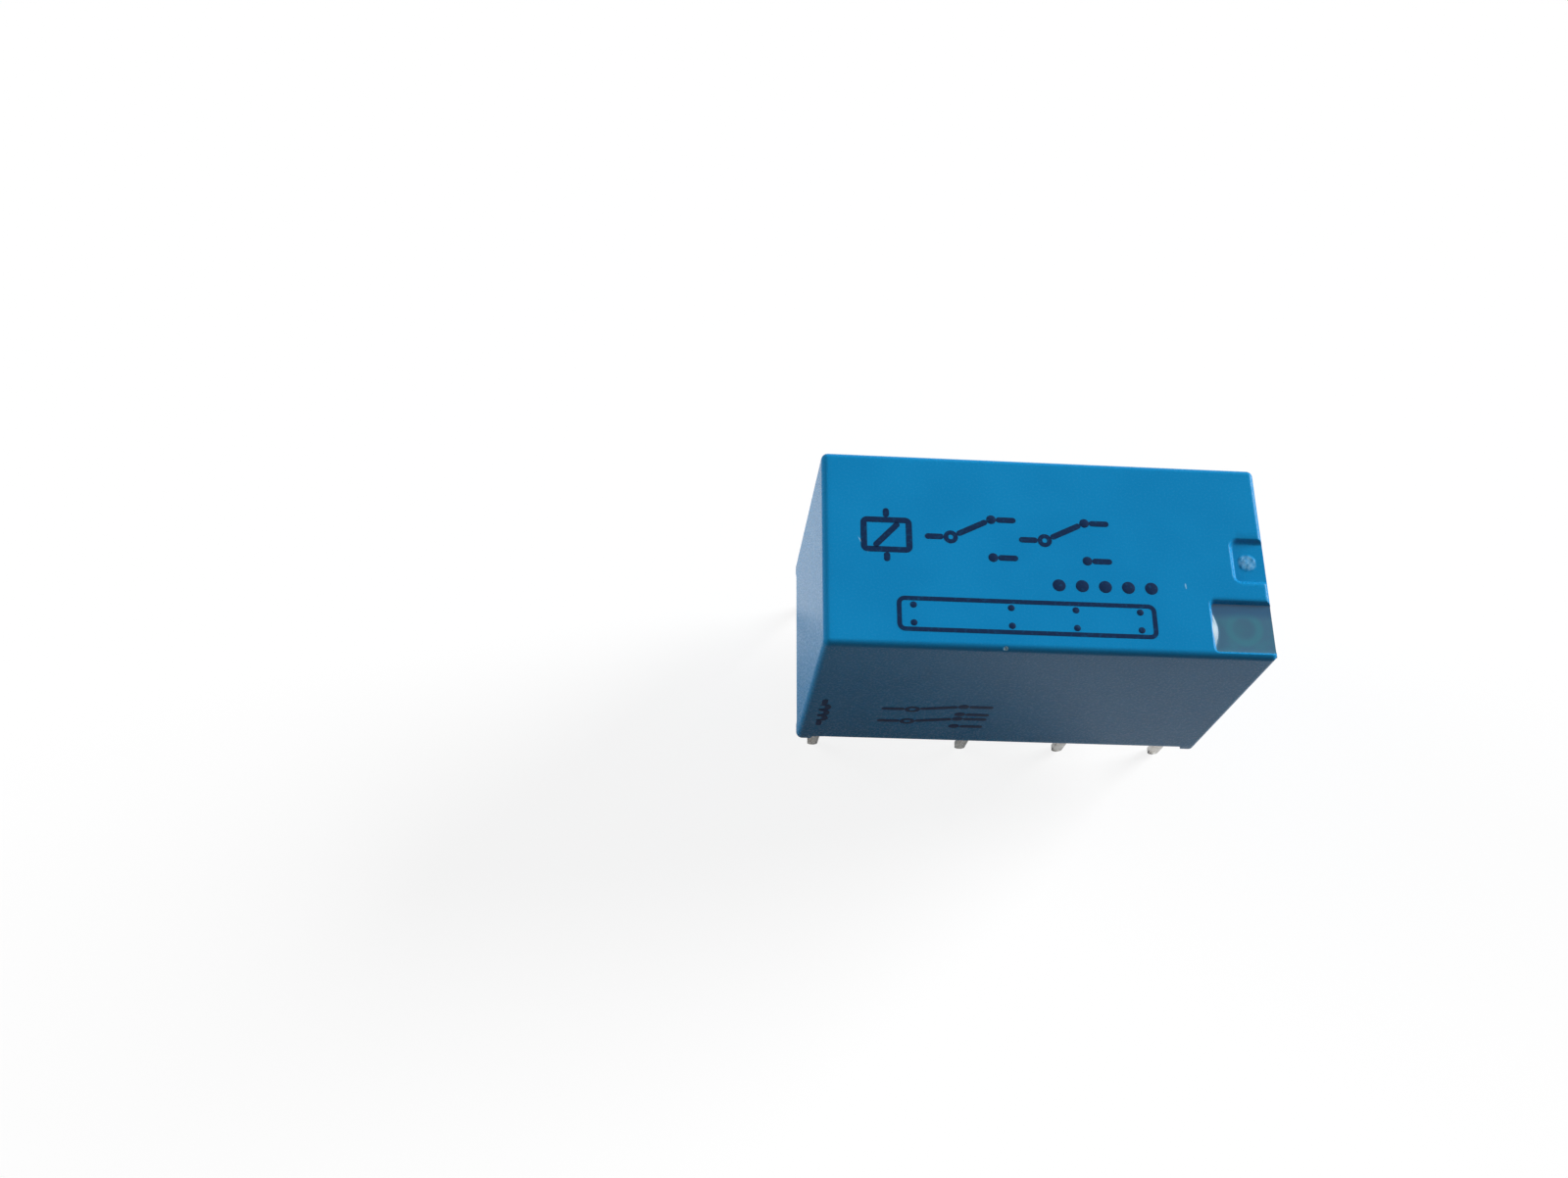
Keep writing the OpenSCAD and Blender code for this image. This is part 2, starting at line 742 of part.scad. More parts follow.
module moving_blade(side) {
    color(bronze) on_side(side) translate([0, 0, blade_z]) linear_extrude(blade_thick) difference() {
        union() {
            translate([pole_back_x + tab_gap, tab_in])
                square([contact_x - pole_back_x - tab_gap, blade_width]);
            translate([contact_x, blade_y]) circle(r = blade_width / 2);
        }
        translate([contact_x, blade_y]) circle(r = contact_shank_r);
    }
}

module moving_contact(side) {
    color("#d9dadb") on_side(side) translate([contact_x, blade_y, 0]) {
        translate([0, 0, blade_z]) cylinder(h = blade_thick, r = contact_shank_r);
        translate([0, 0, blade_top]) contact_head_shape();
        translate([0, 0, blade_z]) mirror([0, 0, 1]) contact_head_shape();
    }
}

// A fixed contact riveted in its tab, with the head up
module fixed_contact() {
    contact_head_shape();
    translate([0, 0, -strip_thick]) cylinder(h = strip_thick, r = contact_shank_r);
    translate([0, 0, -strip_thick - contact_clinch]) cylinder(h = contact_clinch, r = (contact_r + contact_shank_r) / 2);
}

module break_contact(side) {
    color("#d9dadb") on_side(side)
        translate([contact_x, blade_y, break_tab_z]) mirror([0, 0, 1]) fixed_contact();
}

module make_contact(side) {
    color("#d9dadb") on_side(side)
        translate([contact_x, blade_y, make_tab_z + strip_thick]) fixed_contact();
}

cover();
vent_seal();
base();
base_seal();
coil_terminal(-1);  // coil_terminal_front
coil_terminal(1);  // coil_terminal_rear
common_terminal(-1);  // common_terminal_front
common_terminal(1);  // common_terminal_rear
break_terminal(-1);  // break_terminal_front
break_terminal(1);  // break_terminal_rear
make_terminal(-1);  // make_terminal_front
make_terminal(1);  // make_terminal_rear
bobbin();
winding();
coil_lead(-1);  // coil_lead_front
coil_lead(1);  // coil_lead_rear
core();
yoke();
hinge_spring();
armature();
card();
moving_blade(-1);  // moving_blade_front
moving_blade(1);  // moving_blade_rear
moving_contact(-1);  // moving_contact_front
moving_contact(1);  // moving_contact_rear
break_contact(-1);  // break_contact_front
break_contact(1);  // break_contact_rear
make_contact(-1);  // make_contact_front
make_contact(1);  // make_contact_rear
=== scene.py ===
"""Looks of a sealed two-pole changeover relay for a circuit board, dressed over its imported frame.

Shapes are worked out in millimetres in the part's own frame and written to the meshes in metres.
X runs along the relay with the coil pins at -X, the front is -Y, and the board's surface is z = 0.
"""

from __future__ import annotations

import json
import logging
import math
from dataclasses import dataclass, field
from enum import Enum

import bmesh
import bpy
import numpy as np
from mathutils import Matrix, Vector


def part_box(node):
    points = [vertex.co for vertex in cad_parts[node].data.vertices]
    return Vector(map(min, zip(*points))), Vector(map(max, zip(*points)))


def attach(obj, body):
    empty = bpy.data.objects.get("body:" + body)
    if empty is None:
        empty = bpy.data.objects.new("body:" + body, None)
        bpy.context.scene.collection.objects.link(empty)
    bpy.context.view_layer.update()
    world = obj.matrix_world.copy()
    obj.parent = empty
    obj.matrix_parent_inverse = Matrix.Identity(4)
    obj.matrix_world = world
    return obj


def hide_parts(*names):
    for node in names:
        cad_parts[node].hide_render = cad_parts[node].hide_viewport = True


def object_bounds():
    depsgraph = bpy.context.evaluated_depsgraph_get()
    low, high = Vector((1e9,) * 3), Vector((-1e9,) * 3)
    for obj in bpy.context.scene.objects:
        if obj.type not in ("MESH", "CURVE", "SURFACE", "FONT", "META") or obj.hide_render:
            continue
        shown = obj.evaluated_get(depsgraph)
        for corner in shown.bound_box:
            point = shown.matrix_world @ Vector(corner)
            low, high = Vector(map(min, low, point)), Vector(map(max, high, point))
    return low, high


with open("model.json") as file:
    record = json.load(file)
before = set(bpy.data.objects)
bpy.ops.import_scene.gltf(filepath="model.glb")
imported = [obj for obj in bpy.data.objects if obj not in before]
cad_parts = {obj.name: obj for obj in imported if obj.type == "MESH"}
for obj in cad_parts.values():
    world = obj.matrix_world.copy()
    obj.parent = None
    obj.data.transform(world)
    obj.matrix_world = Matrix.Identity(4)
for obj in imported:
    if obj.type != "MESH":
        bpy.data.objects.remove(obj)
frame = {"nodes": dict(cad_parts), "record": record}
CAD_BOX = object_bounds()

LOG = logging.getLogger("relay")
MM = 0.001
WELD_MM = 1e-5
FLOOR_GAP_MM = 0.01
PIN_X = (-8.89, -1.27, 3.81, 8.89)
MID_NOISE = (0.3, 0.7)
MAP_RANGE = ("Value", "From Min", "From Max", "To Min", "To Max")

Array = np.ndarray
Span = tuple[float, float]
Point = tuple[float, float]
Place = tuple[float, float, float]
Color = tuple[float, float, float]
Socket = bpy.types.NodeSocket
Outputs = bpy.types.NodeOutputs
NodeTree = bpy.types.NodeTree
Material = bpy.types.Material
Thing = bpy.types.Object


class Slot(Enum):
    """The record's material slots, which name the finishes."""

    COVER = "cover_plastic"
    BASE = "base_plastic"
    SEAL = "seal_resin"
    VENT = "vent_resin"
    TINNED = "tinned_metal"
    IRON = "plated_iron"
    BRONZE = "spring_bronze"
    SILVER = "contact_silver"
    BOBBIN = "bobbin_plastic"
    CARD = "card_plastic"
    ENAMEL = "enamelled_copper"
    SOLDERED = "soldered_copper"
    INK = "print_ink"


class Panel(Enum):
    """A face of the cover that carries print."""

    ROOF = "roof"
    FRONT = "front"


class LampUse(Enum):
    """What a lamp lights: surfaces themselves, or only what is mirrored in them."""

    SURFACE = "surface"
    GLOSS = "gloss"


def smoothstep(value: Array) -> Array:
    """Returns 0 below 0 and 1 above 1, with the cubic 3t^2 - 2t^3 between them."""
    t = np.clip(value, 0.0, 1.0)
    return t * t * (3.0 - 2.0 * t)


def ways(angle: Array) -> Array:
    """Returns the flat unit vectors at angles, with the two coordinates in the last axis."""
    return np.stack([np.cos(angle), np.sin(angle)], axis=-1)


def spread(*stops: tuple[float, int]) -> Array:
    """Places grid lines between stops.

    Args:
        stops: Pairs of a place and the number of equal steps that lead to it from the place before.

    Returns:
        The places of all lines, in order.
    """
    runs = [np.linspace(a[0], b[0], b[1] + 1)[1:] for a, b in zip(stops, stops[1:])]
    return np.concatenate([[stops[0][0]], *runs])


def corner_gap(dx: Array, dy: Array) -> Array:
    """Signed distance to a corner: the length of the offsets past its sides, or minus the depth."""
    return np.hypot(np.maximum(dx, 0), np.maximum(dy, 0)) + np.minimum(np.maximum(dx, dy), 0)


def box_gap(x: Array, y: Array, middle: Point, size: Point) -> Array:
    """Signed distance to a rectangle, by the offsets past its nearest sides.

    Args:
        x, y: Places along X and along Y.
        middle: Middle of the rectangle.
        size: Its full size along X and Y.

    Returns:
        The distances, below zero inside.
    """
    return corner_gap(np.abs(x - middle[0]) - size[0] / 2, np.abs(y - middle[1]) - size[1] / 2)


def line_gap(x: Array, y: Array, start: Point, end: Point) -> Array:
    """Distance to a straight line between two points: the offset from the nearest point on it.

    Args:
        x, y: Places along X and along Y.
        start: First point.
        end: Second point.

    Returns:
        The distances.
    """
    run = np.subtract(end, start)
    share = np.clip(((x - start[0]) * run[0] + (y - start[1]) * run[1]) / (run @ run), 0, 1)
    return np.hypot(x - start[0] - share * run[0], y - start[1] - share * run[1])


def show(thing: Thing) -> Thing:
    """Puts a new object into the scene and returns it."""
    bpy.context.scene.collection.objects.link(thing)
    return thing


@dataclass
class GridSurface:
    """A grid of points in millimetres, which may close on itself along its rows or its columns."""

    points: Array
    close_rows: bool = False
    close_columns: bool = False

    def quads(self) -> Array:
        """Numbers the corners of the grid's cells.

        Returns:
            Four corner numbers for each cell.
        """
        rows, columns = self.points.shape[:2]
        index = np.arange(rows * columns).reshape(rows, columns)
        if self.close_rows:
            index = np.vstack([index, index[:1]])
        if self.close_columns:
            index = np.hstack([index, index[:, :1]])
        corners = [index[:-1, :-1], index[:-1, 1:], index[1:, 1:], index[1:, :-1]]
        return np.stack(corners, axis=-1).reshape(-1, 4)


@dataclass
class Form:
    """The surfaces of one piece, and the loops of points that a flat face closes."""

    surfaces: list[GridSurface] = field(default_factory=list)
    loops: list[Array] = field(default_factory=list)

    def add(self, points: Array, close_rows: bool = False, close_columns: bool = False) -> None:
        """Adds a grid of points, of shape rows x columns x 3."""
        self.surfaces.append(GridSurface(points, close_rows, close_columns))

    def cap(self, points: Array) -> None:
        """Adds a loop of points that one flat face closes."""
        self.loops.append(points)

    def slab(self, face: Array, back_z: float) -> None:
        """Adds a closed slab: a face, upright sides along its rim, and a flat back.

        Args:
            face: Grid of points.
            back_z: Height of the back.
        """
        rim = np.concatenate([face[:, 0], face[-1, 1:], face[-2::-1, -1], face[0, -2:0:-1]])
        back = rim * [1, 1, 0] + [0, 0, back_z]
        self.add(face)
        self.add(np.stack([rim, back]), close_columns=True)
        self.cap(back)

    def welded(self) -> tuple[Array, list[list[int]]]:
        """Merges points that coincide, and drops the cells that lose their area.

        Returns:
            The points in millimetres, and each face's corner numbers.
        """
        clouds = [s.points.reshape(-1, 3) for s in self.surfaces] + self.loops
        starts = np.cumsum([0] + [len(c) for c in clouds])
        cloud = np.concatenate(clouds)
        keys = np.round(cloud / WELD_MM).astype(np.int64)
        _, first, number = np.unique(keys, axis=0, return_index=True, return_inverse=True)
        number = number.reshape(-1)
        quads = np.concatenate([number[s.quads() + n] for s, n in zip(self.surfaces, starts)])
        same = quads == np.roll(quads, -1, axis=1)
        folded = (quads[:, 0] == quads[:, 2]) | (quads[:, 1] == quads[:, 3])
        whole = quads[~same.any(axis=1) & ~folded]
        pinched = (same.sum(axis=1) == 1) & ~folded
        triangles = quads[pinched][~same[pinched]].reshape(-1, 3)
        faces = whole.tolist() + triangles.tolist()
        for loop, start in zip(self.loops, starts[len(self.surfaces):]):
            ring = number[start:start + len(loop)]
            faces.append(ring[ring != np.roll(ring, 1)].tolist())
        return cloud[first], faces

    def piece(self, name: str, material: Material, sharp_deg: float) -> Thing:
        """Writes the surfaces to a new object at the origin, with its faces turned outwards.

        Args:
            name: Name of the piece.
            material: Finish of the whole piece.
            sharp_deg: Edges that turn by more than this angle stay sharp.

        Returns:
            The new object.
        """
        points, faces = self.welded()
        mesh = bpy.data.meshes.new(name)
        mesh.from_pydata((points * MM).tolist(), [], faces)
        shell = bmesh.new()
        shell.from_mesh(mesh)
        bmesh.ops.recalc_face_normals(shell, faces=shell.faces)
        shell.to_mesh(mesh)
        shell.free()
        mesh.shade_smooth()
        mesh.set_sharp_from_angle(angle=math.radians(sharp_deg))
        mesh.materials.append(material)
        return show(bpy.data.objects.new(name, mesh))


def paint(thing: Thing, name: str, values: Array) -> None:
    """Stores one number for each vertex of a piece, as an attribute that its material reads."""
    layer = thing.data.attributes.new(name, "FLOAT", "POINT")
    layer.data.foreach_set("value", values.astype(np.float32))


def places(thing: Thing) -> Array:
    """Reads the vertices of a piece.

    Args:
        thing: The piece.

    Returns:
        Their places in millimetres, as an array of shape count x 3.
    """
    flat = np.zeros(len(thing.data.vertices) * 3, np.float32)
    thing.data.vertices.foreach_get("co", flat)
    return flat.reshape(-1, 3).astype(float) / MM


def carry(thing: Thing, slot: Slot, *nodes: str) -> Thing:
    """Makes a piece ride on the frame body, and hides the CAD nodes that it stands for.

    Args:
        thing: The piece.
        slot: Not used.
        nodes: The nodes that it replaces, if any.

    Returns:
        The piece.
    """
    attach(thing, "frame")
    if nodes:
        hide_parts(*nodes)
    LOG.info("%s: %d faces", thing.name, len(thing.data.polygons))
    return thing


# Shaders


@dataclass
class Graph:
    """A node tree, with short calls that add nodes and link them."""

    tree: NodeTree

    @classmethod
    def emptied(cls, tree: NodeTree) -> Graph:
        """Empties a node tree and returns its graph."""
        tree.nodes.clear()
        return cls(tree)

    def plug(self, socket: Socket, value: Socket | float | tuple[float, ...]) -> None:
        """Links an input to a socket, or sets its value.

        Args:
            socket: The input.
            value: A socket or a plain value.
        """
        if isinstance(value, Socket):
            self.tree.links.new(value, socket)
        else:
            socket.default_value = value

    def put(self, kind: str, inputs: dict[str | int, object] | None = None,
            **settings: object) -> bpy.types.Node:
        """Adds a node.

        Args:
            kind: The node's type, without its ShaderNode prefix.
            inputs: Values or sockets for its inputs, by name or number.
            settings: Values for its own properties.

        Returns:
            The new node.
        """
        node = self.tree.nodes.new("ShaderNode" + kind)
        for name, value in settings.items():
            setattr(node, name, value)
        for name, value in (inputs or {}).items():
            self.plug(node.inputs[name], value)
        return node

    def math(self, operation: str, a: Socket | float, b: Socket | float = 0.0) -> Socket:
        """Adds a Math node and returns its result."""
        return self.put("Math", {0: a, 1: b}, operation=operation).outputs[0]

    def vector(self, operation: str, a: Socket, b: Socket | Place) -> Outputs:
        """Adds a Vector Math node and returns its outputs."""
        return self.put("VectorMath", {0: a, 1: b}, operation=operation).outputs

    def fit(self, value: Socket, source: Span, target: Span = (0.0, 1.0)) -> Socket:
        """Adds a Map Range node that carries one span smoothly to another; returns its result."""
        inputs = dict(zip(MAP_RANGE, (value, *source, *target)))
        return self.put("MapRange", inputs, interpolation_type="SMOOTHSTEP").outputs["Result"]

    def mix(self, share: Socket, low: Socket | Color, high: Socket | Color) -> Socket:
        """Adds a Mix node, whose colour inputs are 6 and 7, and returns its colour, output 2."""
        ends = [c if isinstance(c, Socket) else (*c, 1.0) for c in (low, high)]
        return self.put("Mix", {0: share, 6: ends[0], 7: ends[1]}, data_type="RGBA").outputs[2]

    def noise(self, vector: Socket, scale: float | Socket, detail: float) -> Socket:
        """Adds a Noise Texture and returns its grey value."""
        inputs = {"Vector": vector, "Scale": scale, "Detail": detail}
        return self.put("TexNoise", inputs).outputs["Fac"]

    def group(self, tree: NodeTree, inputs: dict[str | int, object]) -> Outputs:
        """Places a shared node group and returns its outputs."""
        return self.put("Group", inputs, node_tree=tree).outputs


@dataclass
class SharedEffects:
    """Node groups that several finishes use. Positions go in as millimetres."""

    clouds_per_mm: float = 0.35
    waves_per_mm: float = 0.9
    grain_share: float = 0.12
    streaks_per_mm: float = 6.0
    tarnish_per_mm: float = 1.4
    tarnish_share: float = -0.3
    crumbs_per_mm: float = 9.0
    moulded: NodeTree = field(init=False)
    rolled: NodeTree = field(init=False)
    scuff: NodeTree = field(init=False)

    def __post_init__(self) -> None:
        """Builds the groups once."""
        self.moulded = self.build_moulded()
        self.rolled = self.build_rolled()
        self.scuff = self.build_scuff()

    @staticmethod
    def open_group(name: str, **inputs: str) -> tuple[Graph, Outputs]:
        """Starts a node group.

        Args:
            name: Name of the group.
            inputs: Its inputs, with underscores for spaces, each with its socket type's last word.

        Returns:
            The group's graph, and the sockets that its inputs come in by.
        """
        tree = bpy.data.node_groups.new(name, "ShaderNodeTree")
        for label, kind in inputs.items():
            tree.interface.new_socket(
                label.replace("_", " "), in_out="INPUT", socket_type="NodeSocket" + kind)
        return Graph(tree), tree.nodes.new("NodeGroupInput").outputs

    @staticmethod
    def close_group(g: Graph, **outputs: Socket) -> NodeTree:
        """Gives a node group its outputs, which are all plain numbers.

        Args:
            g: The group's graph.
            outputs: The socket that feeds each output.

        Returns:
            The finished group.
        """
        for label in outputs:
            g.tree.interface.new_socket(label, in_out="OUTPUT", socket_type="NodeSocketFloat")
        end = g.tree.nodes.new("NodeGroupOutput")
        for label, value in outputs.items():
            g.tree.links.new(value, end.inputs[label])
        return g.tree

    def build_moulded(self) -> NodeTree:
        """Skin of a moulding: slow flow clouds, and the grain that the mould's spark finish leaves.

        Returns:
            The group, with outputs Clouds, Grain and Height.
        """
        g, given = self.open_group("moulded skin", Position="Vector", Grain_Scale="Float")
        position = given["Position"]
        clouds = g.noise(position, self.clouds_per_mm, 3.0)
        grain = g.noise(position, given["Grain Scale"], 3.0)
        waves = g.noise(position, self.waves_per_mm, 1.0)
        height = g.math("ADD", g.math("MULTIPLY", grain, self.grain_share), waves)
        return self.close_group(g, Clouds=clouds, Grain=grain, Height=height)

    def build_rolled(self) -> NodeTree:
        """Rolled strip: streaks drawn out along one way, and blotches of tarnish.

        Returns:
            The group, with outputs Streaks, Tarnish and Height.
        """
        g, given = self.open_group("rolled strip", Position="Vector", Stretch="Vector")
        position = given["Position"]
        drawn = g.vector("MULTIPLY", position, given["Stretch"])[0]
        streaks = g.noise(drawn, self.streaks_per_mm, 4.0)
        tarnish = g.fit(g.noise(position, self.tarnish_per_mm, 4.0), (0.45, 0.75))
        height = g.math("ADD", streaks, g.math("MULTIPLY", tarnish, self.tarnish_share))
        return self.close_group(g, Streaks=streaks, Tarnish=tarnish, Height=height)

    def build_scuff(self) -> NodeTree:
        """One scuff: an ellipse around a centre, turned in the roof's plane and broken up by noise.

        Returns:
            The group, with output Mask.
        """
        g, given = self.open_group(
            "scuff", Position="Vector", Centre="Vector", Angle="Float", Size="Vector")
        away = g.vector("SUBTRACT", given["Position"], given["Centre"])[0]
        turned = g.put(
            "VectorRotate", {"Vector": away, "Angle": given["Angle"]}, rotation_type="Z_AXIS")
        scaled = g.vector("DIVIDE", turned.outputs[0], given["Size"])[0]
        near = g.fit(g.vector("LENGTH", scaled, (0, 0, 0))["Value"], (0.6, 1.0), (1.0, 0.0))
        crumbs = g.noise(given["Position"], self.crumbs_per_mm, 3.0)
        broken = g.fit(crumbs, (0.35, 0.6), (0.25, 1.0))
        return self.close_group(g, Mask=g.math("MULTIPLY", near, broken))


@dataclass
class Sheet:
    """A new material: its graph, its shader, and the position in mm that its patterns read."""

    name: str
    effects: SharedEffects
    edge_samples: int = 6
    material: Material = field(init=False)
    graph: Graph = field(init=False)
    shader: bpy.types.Node = field(init=False)
    position: Socket = field(init=False)

    def __post_init__(self) -> None:
        """Makes the material with a Principled BSDF."""
        self.material = bpy.data.materials.new(self.name)
        self.material.use_nodes = True
        tree = self.material.node_tree
        self.graph = Graph(tree)
        self.shader = next(n for n in tree.nodes if n.type == "BSDF_PRINCIPLED")
        coordinates = self.graph.put("TexCoord").outputs["Object"]
        scaled = self.graph.put("VectorMath", {0: coordinates, "Scale": 1 / MM}, operation="SCALE")
        self.position = scaled.outputs[0]

    def skin(self, grain_per_mm: float) -> Outputs:
        """Places the moulded skin and returns its outputs."""
        inputs = {"Position": self.position, "Grain Scale": grain_per_mm}
        return self.graph.group(self.effects.moulded, inputs)

    def strip(self, stretch: Place) -> Outputs:
        """Places the rolled strip and returns its outputs."""
        inputs = {"Position": self.position, "Stretch": stretch}
        return self.graph.group(self.effects.rolled, inputs)

    def mark(self, scuff: Scuff) -> Socket:
        """Places a scuff and returns its mask."""
        inputs = {"Position": self.position, "Centre": scuff.centre,
                  "Angle": math.radians(scuff.angle_deg), "Size": scuff.size}
        return self.graph.group(self.effects.scuff, inputs)["Mask"]

    def feed(self, **sockets: Socket | float) -> None:
        """Sets or links the shader's inputs, with underscores for the spaces in their names."""
        for label, value in sockets.items():
            self.graph.plug(self.shader.inputs[label.replace("_", " ")], value)

    def bump(self, height: Socket, depth_mm: float, edge_mm: float = 0.0) -> None:
        """Feeds Normal from a height, over edges that are rounded by a small radius.

        Args:
            height: Height pattern from 0 to 1.
            depth_mm: Depth that the full height stands for.
            edge_mm: Radius that softens sharp edges, or 0 for none.
        """
        g = self.graph
        bump = g.put("Bump", {"Height": height, "Distance": depth_mm * MM})
        if edge_mm:
            edge = g.put("Bevel", {"Radius": edge_mm * MM}, samples=self.edge_samples)
            g.plug(bump.inputs["Normal"], edge.outputs[0])
        self.feed(Normal=bump.outputs[0])


# Finishes


@dataclass(frozen=True)
class Scuff:
    """A pale mark on the cover: its place, how far it turns, and its half sizes in millimetres."""

    centre: Place
    angle_deg: float
    size: Place
    strength: float


@dataclass(frozen=True)
class Finish:
    """A finish under its material's name. Each kind of finish feeds the shader in its own way."""

    name: str

    def dress(self, sheet: Sheet) -> None:
        """Feeds the shader of a new material."""
        raise NotImplementedError

    def build(self, effects: SharedEffects) -> Material:
        """Makes the material.

        Args:
            effects: The shared node groups.

        Returns:
            The material.
        """
        sheet = Sheet(self.name, effects)
        self.dress(sheet)
        return sheet.material


@dataclass(frozen=True)
class MouldedPlastic(Finish):
    """A moulded plastic with a satin skin."""

    color: Color
    deep: Color
    roughness: Span
    grain_per_mm: float
    relief_mm: float
    edge_mm: float = 0.0
    specular: float = 0.5
    ior: float = 1.49
    scuffs: tuple[Scuff, ...] = ()
    scuff_color: Color = (0.5, 0.72, 0.8)
    scuff_rough: float = 0.35

    def dress(self, sheet: Sheet) -> None:
        """Flow clouds shade the colour, grain breaks up the gloss, and scuffs are pale and dull.

        Args:
            sheet: The new material.
        """
        g, skin = sheet.graph, sheet.skin(self.grain_per_mm)
        color = g.mix(g.fit(skin["Clouds"], MID_NOISE), self.deep, self.color)
        rough = g.fit(skin["Grain"], (0.25, 0.75), self.roughness)
        for scuff in self.scuffs:
            mask = sheet.mark(scuff)
            color = g.mix(g.math("MULTIPLY", mask, scuff.strength), color, self.scuff_color)
            rough = g.math("ADD", rough, g.math("MULTIPLY", mask, self.scuff_rough))
        sheet.feed(Base_Color=color, Roughness=rough, IOR=self.ior,
                   Specular_IOR_Level=self.specular)
        sheet.bump(skin["Height"], self.relief_mm, self.edge_mm)


@dataclass(frozen=True)
class RolledMetal(Finish):
    """A rolled or drawn metal with streaks and a little tarnish."""

    color: Color
    dull: Color
    roughness: Span
    stretch: Place
    relief_mm: float
    edge_mm: float = 0.03

    def dress(self, sheet: Sheet) -> None:
        """Tarnish dulls the colour, and streaks break up the gloss.

        Args:
            sheet: The new material.
        """
        g, strip = sheet.graph, sheet.strip(self.stretch)
        color = g.mix(strip["Tarnish"], self.color, self.dull)
        rough = g.fit(strip["Streaks"], MID_NOISE, self.roughness)
        sheet.feed(Base_Color=color, Roughness=rough, Metallic=1.0)
        sheet.bump(strip["Height"], self.relief_mm, self.edge_mm)


@dataclass(frozen=True)
class PocketResin(Finish):
    """Clear cast resin over a blue pocket; the vent hole shows through it as painted shade."""

    color: Color
    green: Color
    # dark and shaded are painted shade: over the vent hole, and along the pocket's rear wall.
    dark: Color
    shaded: Color
    hole: Place
    ring_r: float
    roughness: float
    ring_soft: Span = (0.05, 0.3)
    shade_from: Span = (0.35, 0.8)
    clouds_per_mm: float = 1.3
    relief_mm: float = 0.015
    ior: float = 1.46

    def dress(self, sheet: Sheet) -> None:
        """Slow clouds, a green ring where the hole's rim shows, and painted shade on the hole and
        rear wall.

        Args:
            sheet: The new material.
        """
        g, skin = sheet.graph, sheet.skin(self.clouds_per_mm)
        away = g.vector("DISTANCE", sheet.position, self.hole)["Value"]
        ring = g.math("ABSOLUTE", g.math("SUBTRACT", away, self.ring_r))
        cloud = g.fit(skin["Grain"], (0.35, 0.7), (0.0, 0.6))
        green = g.math("MAXIMUM", cloud, g.fit(ring, self.ring_soft, (0.9, 0.0)))
        # Painted shade: the resin darkens over the middle of the vent hole that lies under it.
        dark = g.fit(away, (0.5 * self.ring_r, self.ring_r), (0.35, 0.0))
        # Painted shade: towards the pocket's rear wall, where that wall's shadow falls, the resin
        # turns to the shaded colour.
        across = g.put("SeparateXYZ", {0: sheet.position}).outputs["Y"]
        rear = tuple(self.hole[1] + gap for gap in self.shade_from)
        color = g.mix(dark, g.mix(green, self.color, self.green), self.dark)
        color = g.mix(g.fit(across, rear, (0.0, 0.85)), color, self.shaded)
        sheet.feed(Base_Color=color, Roughness=self.roughness, IOR=self.ior)
        sheet.bump(skin["Height"], self.relief_mm)


@dataclass(frozen=True)
class MilkyResin(Finish):
    """Milky cast resin that is thin and blue beside the pads, with the legs dim under it."""

    milk: Color
    thin: Color
    leg: Color
    # Painted highlight: the pale colour that the resin takes around each pin.
    pin_highlight: Color
    fade_mm: float
    roughness: Span
    pin_glow: Span = (0.08, 0.32)
    leg_share: float = 0.65
    clouds_per_mm: float = 1.6
    relief_mm: float = 0.05
    ior: float = 1.5

    def dress(self, sheet: Sheet) -> None:
        """Reads the piece's own attributes pad_gap, pin_gap, leg_shade and leg_cloud.

        Args:
            sheet: The new material.
        """
        g, skin = sheet.graph, sheet.skin(self.clouds_per_mm)
        gap, pin, shade, cloud = (
            g.put("Attribute", attribute_name=name).outputs["Fac"]
            for name in ("pad_gap", "pin_gap", "leg_shade", "leg_cloud"))
        veil = g.math("MULTIPLY", cloud, g.fit(skin["Grain"], (0.25, 0.6), (0.35, 1.0)))
        thin = g.math("MAXIMUM", veil, g.fit(gap, (0.0, self.fade_mm), (0.6, 0.0)))
        color = g.mix(thin, self.milk, self.thin)
        color = g.mix(g.math("MULTIPLY", shade, self.leg_share), color, self.leg)
        # Painted highlight: the resin turns pale around each pin, for the glint on its meniscus.
        color = g.mix(g.fit(pin, self.pin_glow, (0.85, 0.0)), color, self.pin_highlight)
        rough = g.fit(skin["Clouds"], MID_NOISE, self.roughness)
        sheet.feed(Base_Color=color, Roughness=rough, IOR=self.ior)
        sheet.bump(skin["Height"], self.relief_mm)


@dataclass(frozen=True)
class PrintedInk(Finish):
    """Dark blue marking ink, thin in places."""

    color: Color
    thin: Color
    roughness: float
    specular: float = 0.15
    grain_per_mm: float = 7.0
    relief_mm: float = 0.004

    def dress(self, sheet: Sheet) -> None:
        """Fine grain thins the ink.

        Args:
            sheet: The new material.
        """
        g, skin = sheet.graph, sheet.skin(self.grain_per_mm)
        color = g.mix(g.fit(skin["Grain"], (0.5, 0.8), (0.0, 0.7)), self.color, self.thin)
        sheet.feed(Base_Color=color, Roughness=self.roughness, Specular_IOR_Level=self.specular)
        sheet.bump(skin["Grain"], self.relief_mm)


@dataclass(frozen=True)
class EnamelledWire(Finish):
    """Copper under a clear brown enamel."""

    color: Color
    dark: Color
    roughness: float
    stretch: Place = (4.0, 0.4, 0.4)
    coat: float = 0.6
    coat_roughness: float = 0.15

    def dress(self, sheet: Sheet) -> None:
        """A coated metal with slow changes of tone."""
        color = sheet.graph.mix(sheet.strip(self.stretch)["Streaks"], self.dark, self.color)
        sheet.feed(Base_Color=color, Roughness=self.roughness, Metallic=1.0,
                   Coat_Weight=self.coat, Coat_Roughness=self.coat_roughness)


# The relay's pieces that are drawn anew


